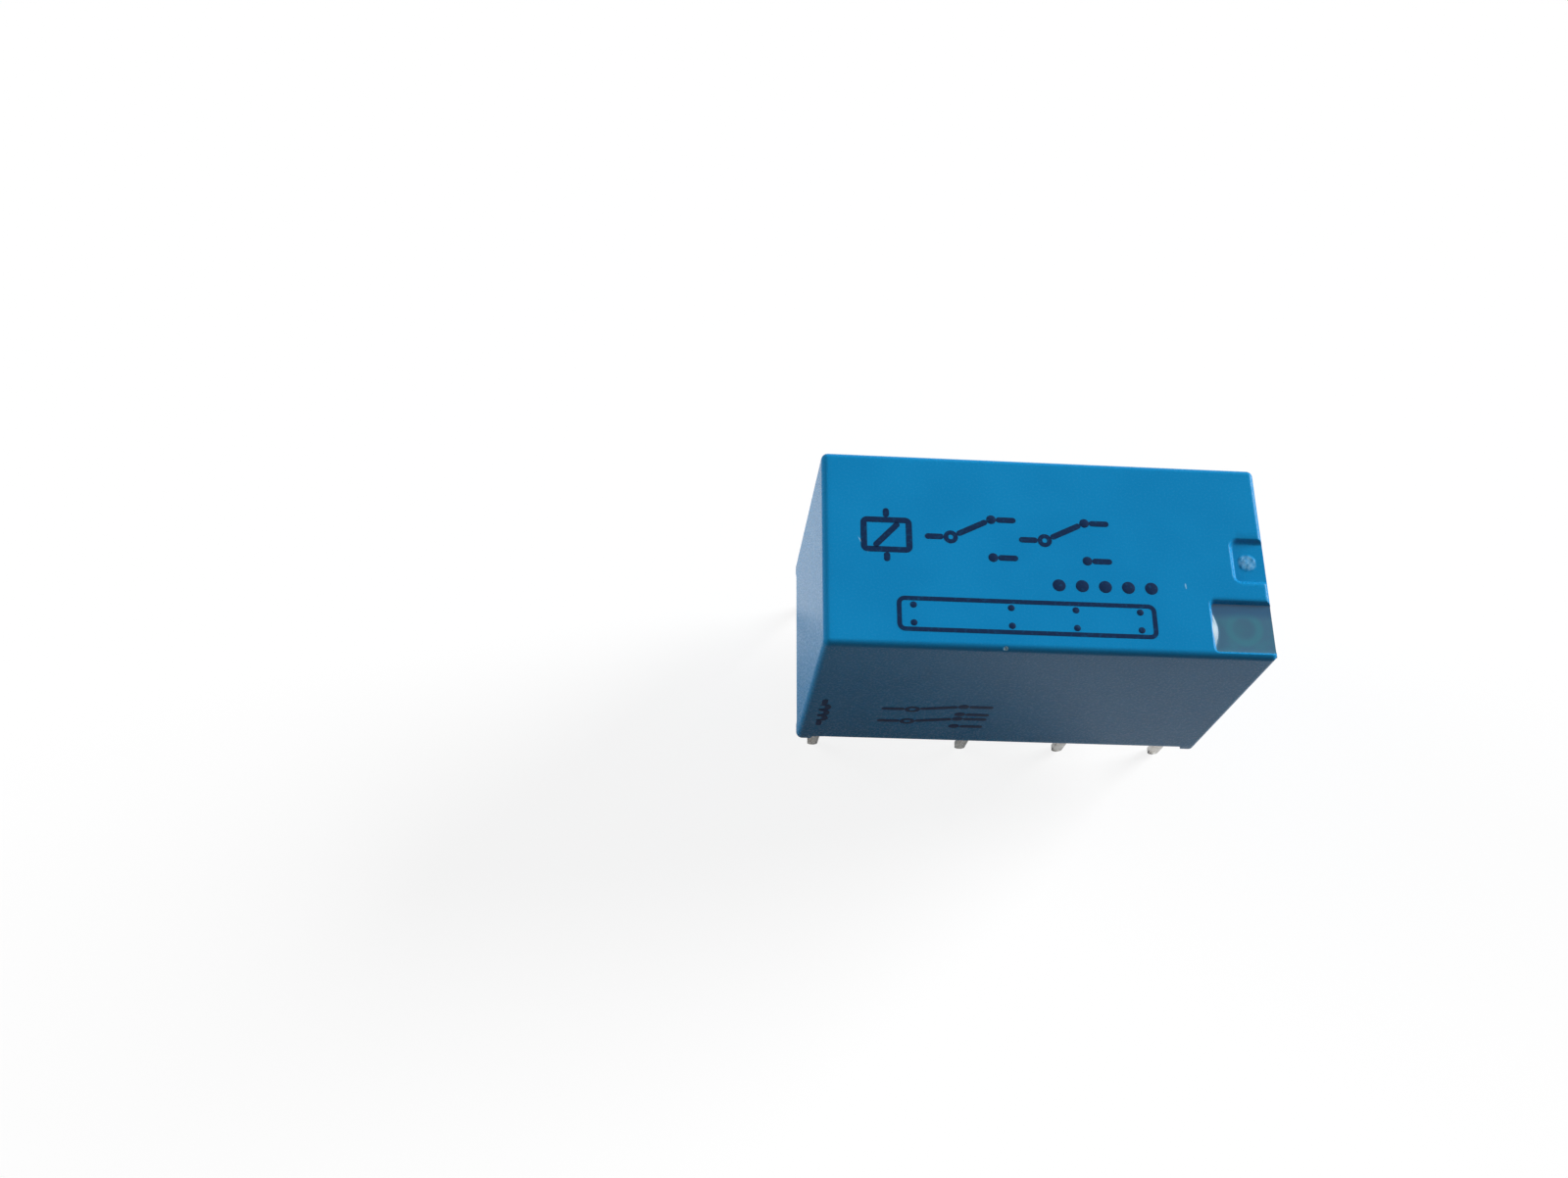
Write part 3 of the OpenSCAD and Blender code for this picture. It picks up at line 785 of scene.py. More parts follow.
@dataclass(frozen=True)
class Pocket:
    """A shallow pocket in the roof, open at the relay's right end."""

    left: float
    low_y: float
    high_y: float
    depth: float
    corner_r: float
    wall_run: float

    def inside(self, x: Array, y: Array) -> Array:
        """Distance inside the outline, a box with round left corners that runs past the right end.

        Args:
            x, y: Places along X and along Y.

        Returns:
            The distances, below zero outside the pocket.
        """
        middle, half = (self.low_y + self.high_y) / 2, (self.high_y - self.low_y) / 2
        past_side = np.abs(y - middle) - half + self.corner_r
        return self.corner_r - corner_gap(self.left + self.corner_r - x, past_side)

    def drop(self, x: Array, y: Array) -> Array:
        """Depth below the roof: t - sin(2 pi t) / 18 of it, for a share t of the wall's run."""
        share = np.clip(self.inside(x, y) / self.wall_run + 0.5, 0, 1)
        return self.depth * (share - np.sin(2 * np.pi * share) / 18)


@dataclass
class Cover:
    """The moulded box: leaning walls, round edges, corner feet, gate recess and vent pocket."""

    half_length: float
    half_width: float
    height: float
    draft: float = 0.08
    edge_r: float = 0.3
    wall: float = 0.45
    roof: float = 0.55
    rim_edge: float = 0.06
    foot_height: float = 0.3
    foot_length: float = 0.75
    foot_width: float = 0.7
    foot_run: float = 0.1
    print_allowance: float = 0.012
    gate_length: float = 1.6
    gate_half: float = 1.025
    gate_depth: float = 0.22
    gate_corner: float = 0.35
    gate_run: float = 0.22
    stub_x: float = 0.88
    stub_r: float = 0.46
    stub_height: float = 0.035
    stub_run: float = 0.16
    vent_length: float = 2.8
    vent_lip: float = 0.4
    vent_width: float = 2.3
    vent_depth: float = 0.32
    vent_corner: float = 0.15
    vent_run: float = 0.28
    hole_r: float = 0.3
    hole_depth: float = 0.2
    hole_run: float = 0.05
    nick_x: float = -2.08
    nick_r: float = 0.07
    nick_depth: float = 0.06
    nick_share: float = 0.3

    @classmethod
    def from_frame(cls) -> Cover:
        """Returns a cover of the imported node's size."""
        low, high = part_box("cover")
        return cls((high.x - low.x) / 2 / MM, (high.y - low.y) / 2 / MM, high.z / MM)

    @property
    def gate(self) -> Pocket:
        """The gate recess, in the middle of the right end."""
        return Pocket(self.half_length - self.gate_length, -self.gate_half, self.gate_half,
                      self.gate_depth, self.gate_corner, self.gate_run)

    @property
    def vent(self) -> Pocket:
        """The vent pocket, at the right end behind a lip along the front."""
        low_y = self.vent_lip - self.half_width
        return Pocket(self.half_length - self.vent_length, low_y, low_y + self.vent_width,
                      self.vent_depth, self.vent_corner, self.vent_run)

    @property
    def top(self) -> float:
        """Height of the roof's face, under the node's so that the print stays inside its box."""
        return self.height - self.print_allowance

    @property
    def hole(self) -> Point:
        """Middle of the vent hole."""
        vent = self.vent
        return (vent.left + self.half_length) / 2, (vent.low_y + vent.high_y) / 2

    @property
    def nick(self) -> Place:
        """Middle of the nick in the front upper edge."""
        inset = self.edge_r * self.nick_share
        return self.nick_x, inset - self.reach(self.top)[1], self.top - inset

    def reach(self, z: Array | float) -> tuple[Array | float, Array | float]:
        """Half length and half width of the sharp box: the feet's size less the draft's share."""
        lean = self.draft * z / self.height
        return self.half_length - lean, self.half_width - lean

    def rim(self, x: Array, y: Array) -> Array:
        """Height of the rim: the feet's height, falling to zero by a smooth step at each foot.

        Args:
            x, y: Places along X and along Y.

        Returns:
            The heights.
        """
        past_x = (self.half_length - self.foot_length - np.abs(x)) / self.foot_run + 0.5
        past_y = (self.half_width - self.foot_width - np.abs(y)) / self.foot_run + 0.5
        return self.foot_height * np.maximum(smoothstep(past_x), smoothstep(past_y))

    def broken(self, x: Array, y: Array) -> Array:
        """Share of the stub's height where it broke off: 1 plus crossed and slanting sine waves."""
        crossed = np.sin(10 * x + 5) * np.sin(9 * y + 2)
        return 1 + 0.5 * crossed + 0.4 * np.sin(17 * x - 13 * y)

    def roof_face(self, x: Array, y: Array) -> Array:
        """Height of the roof with its pockets, vent hole and gate stub.

        Args:
            x, y: Places along X and along Y.

        Returns:
            The roof's face, less the deeper pocket, less a well at the hole, plus a broken stub.
        """
        hole_x, hole_y = self.hole
        from_hole = np.hypot(x - hole_x, y - hole_y)
        from_stub = np.hypot(x - self.half_length + self.stub_x, y)
        well = self.hole_depth * smoothstep((self.hole_r - from_hole) / self.hole_run)
        stub = self.stub_height * smoothstep((self.stub_r - from_stub) / self.stub_run)
        depth = np.maximum(self.gate.drop(x, y), self.vent.drop(x, y))
        return self.top - depth - well + stub * self.broken(x, y)

    def rounded(self, x: Array, y: Array, z: Array) -> Array:
        """Rounds points of the sharp leaning box.

        Each point moves to the core, a box smaller by the edge radius, plus the radius along the
        way out of the core. At the rim the wall turns in on a small quarter circle. Pockets then
        hold the height down, and a bell-shaped dent makes the nick.

        Args:
            x, y: Places along X and along Y, at the roof's level.
            z: Heights.

        Returns:
            The points, with the coordinates in the last axis.
        """
        x, y, z = np.broadcast_arrays(x, y, z)
        top_l, top_w = self.reach(self.top)
        reach_l, reach_w = self.reach(z)
        sharp = np.stack([x * reach_l / top_l, y * reach_w / top_w, z], axis=-1)
        core = np.stack([
            np.clip(sharp[..., 0], self.edge_r - reach_l, reach_l - self.edge_r),
            np.clip(sharp[..., 1], self.edge_r - reach_w, reach_w - self.edge_r),
            np.minimum(z, self.top - self.edge_r)], axis=-1)
        way = sharp - core
        way = way / np.linalg.norm(way, axis=-1, keepdims=True)
        points = core + self.edge_r * way
        low = (self.rim(sharp[..., 0], sharp[..., 1]) + self.rim_edge - z) / self.rim_edge
        turn_in = self.rim_edge * (1 - np.sqrt(1 - np.clip(low, 0, 1) ** 2))
        points[..., :2] -= turn_in[..., None] * way[..., :2]
        roof = self.roof_face(points[..., 0], points[..., 1])
        points[..., 2] = np.minimum(points[..., 2], roof)
        bell = np.exp(-np.sum((points - self.nick) ** 2, axis=-1) / self.nick_r ** 2)
        return points - self.nick_depth * bell[..., None] * way

    def lines(self) -> tuple[Array, Array]:
        """Places the grid lines: close together at edges, pockets, feet, stub and nick.

        Returns:
            The lines along X and along Y, at the roof's level.
        """
        long, wide = self.reach(self.top)
        foot_x, foot_y = self.half_length - self.foot_length, self.half_width - self.foot_width
        gate, vent, r = self.gate, self.vent, self.edge_r
        foot, nick, wall = 0.1, 0.3, 0.2
        along = spread(
            (-long, 0), (r - long, 8), (-foot_x - foot, 2), (foot - foot_x, 10),
            (self.nick_x - nick, 12), (self.nick_x + nick, 24),
            (vent.left - wall, 14), (vent.left + wall, 22), (gate.left - wall, 10),
            (long - r, 56), (long, 10))
        foot, hole, wall, corner, hole_y = 0.07, 0.35, 0.12, 0.45, self.hole[1]
        across = spread(
            (-wide, 0), (r - wide, 8), (vent.low_y + wall, 10),
            (-foot_y - foot, 2), (foot - foot_y, 8), (hole_y - hole, 5), (hole_y + hole, 14),
            (vent.high_y - wall, 6), (vent.high_y + wall, 14),
            (gate.low_y - wall, 8), (gate.low_y + corner, 22),
            (gate.high_y - corner, 24), (gate.high_y + wall, 22),
            (foot_y - foot, 9), (foot_y + foot, 8), (wide - r, 4), (wide, 8))
        return along, across

    def wall_heights(self, x: Array, y: Array) -> Array:
        """Heights of the wall's rows over points of the rim, from the rim to the roof.

        Args:
            x, y: Places along X and along Y.

        Returns:
            The heights, with one row of the wall in each column.
        """
        near_rim = self.rim_edge * (1 - np.cos(np.linspace(0, np.pi / 2, 5)))
        edge, margin = self.top - self.edge_r, 0.1
        upper = spread((2 * self.foot_height, 0), (edge - margin, 6), (edge, 2), (self.top, 8))
        rows = self.rim(x, y)[:, None] + near_rim[None, :]
        return np.hstack([rows, np.broadcast_to(upper, (len(x), len(upper)))])

    def inner(self, x: Array, y: Array, z: Array) -> Array:
        """Points on the inside wall: the outside places held to the inside's half sizes.

        Args:
            x, y, z: Places along the three axes.

        Returns:
            The points, with the coordinates in the last axis.
        """
        half_l, half_w = self.half_length - self.wall, self.half_width - self.wall
        held = np.clip(x, -half_l, half_l), np.clip(y, -half_w, half_w), z
        return np.stack(np.broadcast_arrays(*held), axis=-1)

    def form(self) -> Form:
        """Builds the roof, the four walls, the rim and the inside.

        Returns:
            The closed shell.
        """
        along, across = self.lines()
        long, wide = self.reach(self.top)
        form = Form()
        form.add(self.rounded(along[:, None], across[None, :], np.array(self.top)))
        sides = ((along, np.full_like(along, -wide)), (np.full_like(across, long), across),
                 (along[::-1], np.full_like(along, wide)),
                 (np.full_like(across, -long), across[::-1]))
        ceiling = []
        for x, y in sides:
            foot_x, foot_y = x * self.half_length / long, y * self.half_width / wide
            outside = self.rounded(x[:, None], y[:, None], self.wall_heights(foot_x, foot_y))
            ends_z = [self.rim(foot_x, foot_y), np.full_like(x, self.height - self.roof)]
            push_x = np.sign(foot_x) * (np.abs(x) == long)
            push_y = np.sign(foot_y) * (np.abs(y) == wide)
            inside = self.inner((foot_x + push_x)[:, None], (foot_y + push_y)[:, None],
                                np.stack(ends_z, axis=-1))
            form.add(outside)
            form.add(np.stack([outside[:, 0], inside[:, 0]], axis=1))
            form.add(inside)
            ceiling.append(inside[:, 1])
        form.cap(np.concatenate(ceiling))
        return form

    def build(self, finish: Material) -> Thing:
        """Makes and returns the piece that stands for the cover."""
        return carry(self.form().piece("moulded_cover", finish, 50), Slot.COVER, "cover")


@dataclass
class VentSeal:
    """The resin in the vent pocket, drawn up at the pocket's walls."""

    cover: Cover
    below_roof: float = 0.22
    side_climb: float = 0.04
    side_run: float = 0.06
    slope: float = 0.57
    slope_reach: float = 0.37
    slope_half: float = 0.95
    slope_y: float = 1.0
    slope_soft: float = 0.03
    grip: float = 0.16
    under_roof: float = 0.01
    under_edge: float = 0.002
    under_floor: float = 0.01
    least: float = 0.005

    def face(self, x: Array, y: Array) -> Array:
        """Height of the resin.

        Args:
            x, y: Places along X and along Y.

        Returns:
            A level face, plus rises that die away from the side walls, plus a slope down from the
            left wall. The slope's reach is a bell along the wall, and its foot is the soft corner
            s ln(1 + e^(d/s)) of the distance d to that reach. The face is held under the roof and
            under the round edge at the relay's end.
        """
        cover, vent = self.cover, self.cover.vent
        from_left = np.maximum(x - vent.left + vent.wall_run / 2, 0)
        from_side = np.maximum(np.minimum(y - vent.low_y, vent.high_y - y), 0)
        bell = np.exp(-((y - vent.low_y - self.slope_y) / self.slope_half) ** 2)
        past = (self.slope_reach * bell - from_left) / self.slope_soft
        rise = self.slope * self.slope_soft * np.logaddexp(0, past)
        sides = self.side_climb * np.exp(-from_side / self.side_run)
        level = cover.top - self.below_roof + rise + sides
        over = np.clip(x - cover.reach(cover.top)[0] + cover.edge_r, 0, cover.edge_r)
        edge = cover.top - cover.edge_r + np.sqrt(cover.edge_r ** 2 - over ** 2)
        held = np.minimum(cover.top - self.under_roof, edge - self.under_edge)
        return np.minimum(level, held)

    def form(self) -> Form:
        """Builds the resin as its face, its sides and its flat bottom.

        Returns:
            The closed slab.
        """
        cover, vent, near = self.cover, self.cover.vent, 0.4
        end = cover.reach(cover.top)[0]
        along = spread((vent.left - self.grip, 0), (vent.left + near, 22),
                       (end - cover.edge_r, 26), (end, 12))
        across = spread((vent.low_y - self.grip, 0), (vent.low_y + near, 16),
                        (vent.high_y - near, 20), (vent.high_y + self.grip, 16))
        bottom = cover.top - vent.depth - self.under_floor
        x, y = np.meshgrid(along, across, indexing="ij")
        z = np.maximum(self.face(x, y), bottom + self.least)
        form = Form()
        form.slab(np.stack([x, y, z], axis=-1), bottom)
        return form

    def build(self, finish: Material) -> Thing:
        """Makes and returns the piece that stands for the vent seal."""
        return carry(self.form().piece("vent_resin_fill", finish, 50), Slot.VENT, "vent_seal")


@dataclass
class BaseSeal:
    """The milky resin under the base, drawn up at the pads, the pins and the cover's wall."""

    half_length: float
    half_width: float
    face_z: float
    back_z: float
    pin_x: tuple[float, ...] = PIN_X
    row_y: float = 3.81
    pin_size: Point = (0.5, 0.3)
    moat: float = 0.12
    pad_row: float = 1.25
    end_row: float = 1.5
    channel: float = 1.2
    pin_channel: float = 0.56
    eye_r: float = 0.48
    corner_relief: float = 0.7
    corner_half: float = 1.0
    leg_reach: float = 1.8
    coil_leg: float = 3.5
    leg_r: float = 0.17
    cloud_r: float = 0.85
    pad_climb: float = 0.1
    pad_run: float = 0.1
    wall_run: float = 0.08
    pin_climb: float = 0.4
    pin_run: float = 0.11

    @classmethod
    def from_frame(cls) -> BaseSeal:
        """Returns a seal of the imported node's size."""
        low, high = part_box("base_seal")
        return cls(high.x / MM, high.y / MM, low.z / MM, high.z / MM)

    def legs(self) -> list[tuple[Point, Point]]:
        """Lists the legs under the resin on the rear side, the slanting one of a coil pin first.

        Returns:
            Each leg's end at its pin, and its inner end.
        """
        reach, row = self.coil_leg * math.sqrt(0.5), self.row_y
        ends = [(self.pin_x[0] + reach, row - reach)]
        ends += [(pin, row - self.leg_reach) for pin in self.pin_x[1:]]
        return [((pin, row), end) for pin, end in zip(self.pin_x, ends)]

    def pad_gap(self, x: Array, y: Array) -> Array:
        """Signed distance to the pads: a frame of pads, cut by the pool, channels and pins' eyes.

        Args:
            x, y: Places along X and along Y.

        Returns:
            The distances, below zero on a pad.
        """
        long, wide = 2 * (self.half_length - self.moat), 2 * (self.half_width - self.moat)
        side, row = np.abs(y), self.row_y
        cuts = [box_gap(x, y, (0, 0), (long - 2 * self.end_row, wide - 2 * self.pad_row)),
                box_gap(x, y, (0, 0), (2 * long, self.channel))]
        for a, b in zip(self.pin_x, self.pin_x[1:]):
            cuts.append(box_gap(x, y, ((a + b) / 2, 0), (self.channel, 2 * wide)))
        for pin in self.pin_x[1:]:
            cuts.append(box_gap(x, side, (pin, row), (self.pin_channel, 2 * self.leg_reach)))
            cuts.append(np.hypot(x - pin, side - row) - self.eye_r)
        inset = self.corner_half - self.corner_relief
        corner = (self.pin_x[-1] + inset, row + inset)
        cuts.append(box_gap(np.abs(x), side, corner, (2 * self.corner_half,) * 2))
        cuts.append(line_gap(x, side, *self.legs()[0]) - self.pin_channel / 2)
        return np.maximum(box_gap(x, y, (0, 0), (long, wide)), -np.minimum.reduce(cuts))

    def pin_gap(self, x: Array, y: Array) -> Array:
        """Distance to the nearest pin's rectangle."""
        gaps = [box_gap(x, np.abs(y), (pin, self.row_y), self.pin_size) for pin in self.pin_x]
        return np.maximum(np.minimum.reduce(gaps), 0)

    def leg_shade(self, x: Array, y: Array) -> Array:
        """How much the legs under the resin show: a bell over each leg's line."""
        gaps = [line_gap(x, np.abs(y), *leg) for leg in self.legs()]
        return np.exp(-(np.minimum.reduce(gaps) / self.leg_r) ** 2)

    def leg_cloud(self, x: Array, y: Array) -> Array:
        """How thin the resin is over the legs' inner ends: a wide bell around each end."""
        away = [np.hypot(x - end[0], np.abs(y) - end[1]) for _, end in self.legs()]
        return np.exp(-(np.minimum.reduce(away) / self.cloud_r) ** 2)

    def face(self, x: Array, y: Array) -> Array:
        """Height of the resin's face.

        Args:
            x, y: Places along X and along Y.

        Returns:
            The face's level, less rises that die away from the pads, the pins and the wall.
        """
        edge = np.minimum(self.half_length - np.abs(x), self.half_width - np.abs(y))
        rises = [
            self.pad_climb * np.exp(-np.maximum(self.pad_gap(x, y), 0) / self.pad_run),
            self.pad_climb * np.exp(-np.maximum(edge, 0) / self.wall_run),
            self.pin_climb * np.exp(-self.pin_gap(x, y) / self.pin_run)]
        return self.face_z - np.maximum.reduce(rises)

    def lines(self) -> tuple[Array, Array]:
        """Places the grid lines: close together around the pins.

        Returns:
            The lines along X and along Y.
        """
        near, step, pin_steps, edge_steps, row_steps = 0.55, 0.1, 28, 2, 26
        stops = [(-self.half_length, 0)]
        for pin in self.pin_x:
            start = pin - near
            stops.append((start, max(1, round((start - stops[-1][0]) / step))))
            stops.append((pin + near, pin_steps))
        stops.append((self.half_length, edge_steps))
        row_low = self.row_y - near
        rear = spread((0.0, 0), (row_low, round(row_low / step)), (self.half_width, row_steps))
        return spread(*stops), np.concatenate([-rear[:0:-1], rear])

    def form(self) -> Form:
        """Builds the resin as its face, its sides and its flat back.

        Returns:
            The closed slab.
        """
        x, y = np.meshgrid(*self.lines(), indexing="ij")
        form = Form()
        form.slab(np.stack([x, y, self.face(x, y)], axis=-1), self.back_z)
        return form

    def build(self, finish: Material) -> Thing:
        """Makes the piece that stands for the base seal, with the attributes its finish reads.

        Args:
            finish: The milky resin.

        Returns:
            The new piece.
        """
        thing = self.form().piece("milky_resin", finish, 60)
        x, y, _ = places(thing).T
        paint(thing, "pad_gap", np.maximum(self.pad_gap(x, y), 0))
        paint(thing, "pin_gap", self.pin_gap(x, y))
        paint(thing, "leg_shade", self.leg_shade(x, y))
        paint(thing, "leg_cloud", self.leg_cloud(x, y))
        return carry(thing, Slot.SEAL, "base_seal")


@dataclass
class Winding:
    """The coil's turns of wire, as one sleeve with a helical ridge for each turn."""

    start_x: float
    end_x: float
    outer_r: float
    axis_z: float
    inner_r: float = 1.55
    pitch: float = 0.13
    steps: int = 6
    around: int = 72

    @classmethod
    def from_frame(cls) -> Winding:
        """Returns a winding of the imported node's size."""
        low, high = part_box("winding")
        return cls(low.x / MM, high.x / MM, (high.z - low.z) / 2 / MM, (high.z + low.z) / 2 / MM)

    def form(self) -> Form:
        """Builds the sleeve.

        Along the axis the radius is the wire's round back, r - p/2 + sqrt((p/2)^2 - s^2), where p
        is the pitch and s the distance from the turn's middle. Each row moves along by one pitch
        in a full turn, and is held to the winding's ends, where the profile goes in to the
        bobbin's tube and back.

        Returns:
            The closed sleeve.
        """
        turns = math.ceil((self.end_x - self.start_x) / self.pitch)
        row = np.arange(-self.steps, turns * self.steps + 1)[:, None] / self.steps
        share = np.linspace(0, 1, self.around + 1)
        along = np.clip(self.start_x + self.pitch * (row + share), self.start_x, self.end_x)
        half = self.pitch / 2
        off = (((along - self.start_x) / self.pitch - share) % 1.0 - 0.5) * self.pitch
        radius = self.outer_r - half + np.sqrt(np.maximum(half ** 2 - off ** 2, 0))
        tube = np.full((1, self.around + 1), self.inner_r)
        along = np.vstack([along[:1], along, along[-1:]])
        radius = np.vstack([tube, radius, tube])
        angle = 2 * np.pi * share
        points = [along, radius * np.sin(angle), self.axis_z + radius * np.cos(angle)]
        form = Form()
        form.add(np.stack(points, axis=-1), close_rows=True)
        return form

    def build(self, finish: Material) -> Thing:
        """Makes and returns the piece that stands for the winding."""
        return carry(self.form().piece("coil_turns", finish, 60), Slot.ENAMEL, "winding")


@dataclass
class Marks:
    """Plain marks in dark ink on one face of the cover: flat strokes, a little proud of it."""

    cover: Cover
    panel: Panel
    form: Form = field(default_factory=Form)
    proud: float = 0.008
    sunk: float = 0.01
    stroke: float = 0.27
    fine_stroke: float = 0.2
    round_steps: int = 32
    shoulder: Point = (0.96, 0.6)
    dot_share: float = 0.8
    pivot_share: float = 0.28
    contact_share: float = 0.73

    def lay(self, flat: Array, height: float) -> Array:
        """Carries flat points to the face.

        Args:
            flat: Points, with X and Y in the last axis for the roof, or X and Z for the front.
            height: Distance out of the face.

        Returns:
            The points in the part's frame.
        """
        a, b = flat[..., 0], flat[..., 1]
        if self.panel is Panel.ROOF:
            return np.stack([a, b, np.full_like(a, self.cover.top + height)], axis=-1)
        return np.stack([a, -self.cover.reach(b)[1] - height, b], axis=-1)

    def disc(self, middle: Point, radius: float) -> None:
        """Adds a round dot: a closed prism from its lower middle, over its rims, to its upper one.

        Args:
            middle: Middle of the dot.
            radius: Its radius.
        """
        circle = ways(np.linspace(0, 2 * np.pi, self.round_steps, endpoint=False))
        rows = [(0.0, -self.sunk), (radius, -self.sunk), (radius, self.proud * self.shoulder[1]),
                (radius * self.shoulder[0], self.proud), (0.0, self.proud)]
        points = [self.lay(np.array(middle) + r * circle, h) for r, h in rows]
        self.form.add(np.stack(points), close_columns=True)

    def band(self, one: Array, other: Array, closed: bool = False) -> None:
        """Adds a strip of ink between two flat lines.

        Args:
            one: Points of the first line.
            other: Points of the second, which meets the first at both ends.
            closed: True where both lines come back to their start instead.
        """
        rows = [self.lay(line, height) for line, height in (
            (one, -self.sunk), (one, self.proud), (other, self.proud), (other, -self.sunk))]
        self.form.add(np.stack(rows), close_rows=True, close_columns=closed)

    def ribbon(self, path: Array, width: float, closed: bool = False) -> None:
        """Adds a stroke of ink along a path, with round ends.

        The half width is w/2, and within w/2 of an open end it is sqrt(w s - s^2), where s is the
        distance to that end. At a bend it is divided by the cosine of half the turn, which mitres
        the corner.

        Args:
            path: Flat points along the stroke.
            width: Its width w.
            closed: True for a path that comes back to its start.
        """
        path = np.asarray(path, float)
        if closed:
            path = np.vstack([path, path[:1]])
        far = np.concatenate([[0], np.cumsum(np.hypot(*np.diff(path, axis=0).T))])
        half, total = width / 2, far[-1]
        stops = far[:-1]
        if not closed:
            tip = half * (1 - np.cos(np.linspace(0, np.pi / 2, 7)))
            between = far[(far > half) & (far < total - half)]
            stops = np.unique(np.concatenate([tip, between, total - tip]))
        points = np.stack([np.interp(stops, far, line) for line in path.T], axis=-1)
        ahead = np.roll(points, -1, axis=0) - points
        ahead = ahead if closed else np.vstack([ahead[:-1], ahead[-2:-1]])
        ahead = ahead / np.linalg.norm(ahead, axis=1, keepdims=True)
        behind = np.roll(ahead, 1, axis=0) if closed else np.vstack([ahead[:1], ahead[:-1]])
        way = ahead + behind
        way = way / np.linalg.norm(way, axis=1, keepdims=True)
        to_end = np.minimum(np.minimum(stops, total - stops), half)
        s = np.full_like(stops, half) if closed else to_end
        bend = np.maximum(np.sum(way * ahead, axis=1), 0.5)
        reach = np.sqrt(np.maximum(width * s - s ** 2, 0)) / bend
        offset = np.stack([-way[:, 1], way[:, 0]], axis=-1) * reach[:, None]
        self.band(points + offset, points - offset, closed)

    def ring(self, middle: Point, radius: float) -> None:
        """Adds a fine round stroke that closes on itself."""
        circle = ways(np.radians(np.linspace(0, 360, self.round_steps + 1)[:-1]))
        self.ribbon(np.array(middle) + radius * circle, self.fine_stroke, True)

    def outline(self, low: Point, high: Point, radius: float, width: float) -> None:
        """Adds the outline of a rectangle, as one closed stroke through four round corners.

        Args:
            low: Its corner at the lower left.
            high: Its corner at the upper right.
            radius: Radius of the corners.
            width: Width of the stroke.
        """
        corners = [(high[0], high[1]), (low[0], high[1]), (low[0], low[1]), (high[0], low[1])]
        middles = np.array(corners) - radius * np.array([(1, 1), (-1, 1), (-1, -1), (1, -1)])
        angle = np.radians(np.arange(4)[:, None] * 90 + np.linspace(0, 90, 7)[None, :])
        path = middles[:, None] + radius * ways(angle)
        self.ribbon(path.reshape(-1, 2), width, True)

    def changeover(self, start: Point, length: float, rise: float, width: float) -> None:
        """Adds one changeover: a lead, a pivot ring, its blade, and two fixed contacts with leads.

        Args:
            start: Free end of the lead, at the pivot's level.
            length: Whole length along X.
            rise: How far each fixed contact lies from the pivot's level.
            width: Width of the strokes.
        """
        dot = self.dot_share * width
        pivot = np.array([start[0] + self.pivot_share * length, start[1]])
        rest = np.array([start[0] + self.contact_share * length, start[1] + rise])
        way = (rest - pivot) / np.linalg.norm(rest - pivot)
        edge = dot + self.fine_stroke / 2
        self.ribbon([start, pivot - (edge, 0)], width)
        self.ring(pivot, dot)
        self.ribbon([pivot + edge * way, rest - dot * way], width)
        for level in (start[1] - rise, start[1] + rise):
            self.disc((rest[0], level), dot)
            self.ribbon([(rest[0] + dot, level), (start[0] + length, level)], width)

    def draw(self) -> None:
        """Draws the marks of the face."""
        raise NotImplementedError

    def build(self, finish: Material) -> Thing:
        """Draws the marks and returns their piece."""
        self.draw()
        return carry(self.form.piece(self.panel.value + "_print", finish, 30), Slot.INK)


@dataclass
class RoofPrint(Marks):
    """Five dots, a connection diagram and a plan of the pins."""

    panel: Panel = Panel.ROOF
    dot_r: float = 0.29
    dot_start: Point = (0.44, -1.535)
    dot_pitch: float = 1.028
    dot_count: int = 5
    diagram_y: float = 0.62
    coil_x: Span = (-8.1, -6.1)
    coil_half: float = 0.72
    coil_corner: float = 0.16
    coil_slant: float = 0.45
    coil_lead: float = 1.3
    changeover_x: Span = (-5.4, -1.2)
    changeover_length: float = 4.1
    changeover_rise: float = 0.93
    plan_middle: Point = (-1.04, -3.12)
    plan_half: Point = (5.6, 0.72)
    plan_corner: float = 0.25
    plan_scale: float = 0.56
    plan_row: float = 0.42
    plan_dot: float = 0.15

    def draw_coil(self) -> None:
        """Draws the coil's symbol: a box with a slanting line, and a lead on either side."""
        w, y, half, (left, right) = self.stroke, self.diagram_y, self.coil_half, self.coil_x
        self.outline((left, y - half), (right, y + half), self.coil_corner, w)
        slant_low = (left + self.coil_slant, y - half + w / 2)
        slant_high = (right - self.coil_slant, y + half - w / 2)
        self.ribbon([slant_low, slant_high], w)
        x, start = (left + right) / 2, half + w / 2
        for side in (-1, 1):
            self.ribbon([(x, y + side * start), (x, y + side * self.coil_lead)], w)

    def draw_plan(self) -> None:
        """Draws the plan: an outline, and a dot for each pin of the two rows."""
        (x, y), (half_x, half_y) = self.plan_middle, self.plan_half
        self.outline((x - half_x, y - half_y), (x + half_x, y + half_y), self.plan_corner,
                     self.fine_stroke)
        for pin in PIN_X:
            for row in (-self.plan_row, self.plan_row):
                self.disc((x + self.plan_scale * pin, y + row), self.plan_dot)

    def draw(self) -> None:
        """Draws the dots, the coil, two changeovers and the plan."""
        for i in range(self.dot_count):
            self.disc((self.dot_start[0] + i * self.dot_pitch, self.dot_start[1]), self.dot_r)
        self.draw_coil()
        for x in self.changeover_x:
            self.changeover((x, self.diagram_y), self.changeover_length, self.changeover_rise,
                            self.stroke)
        self.draw_plan()


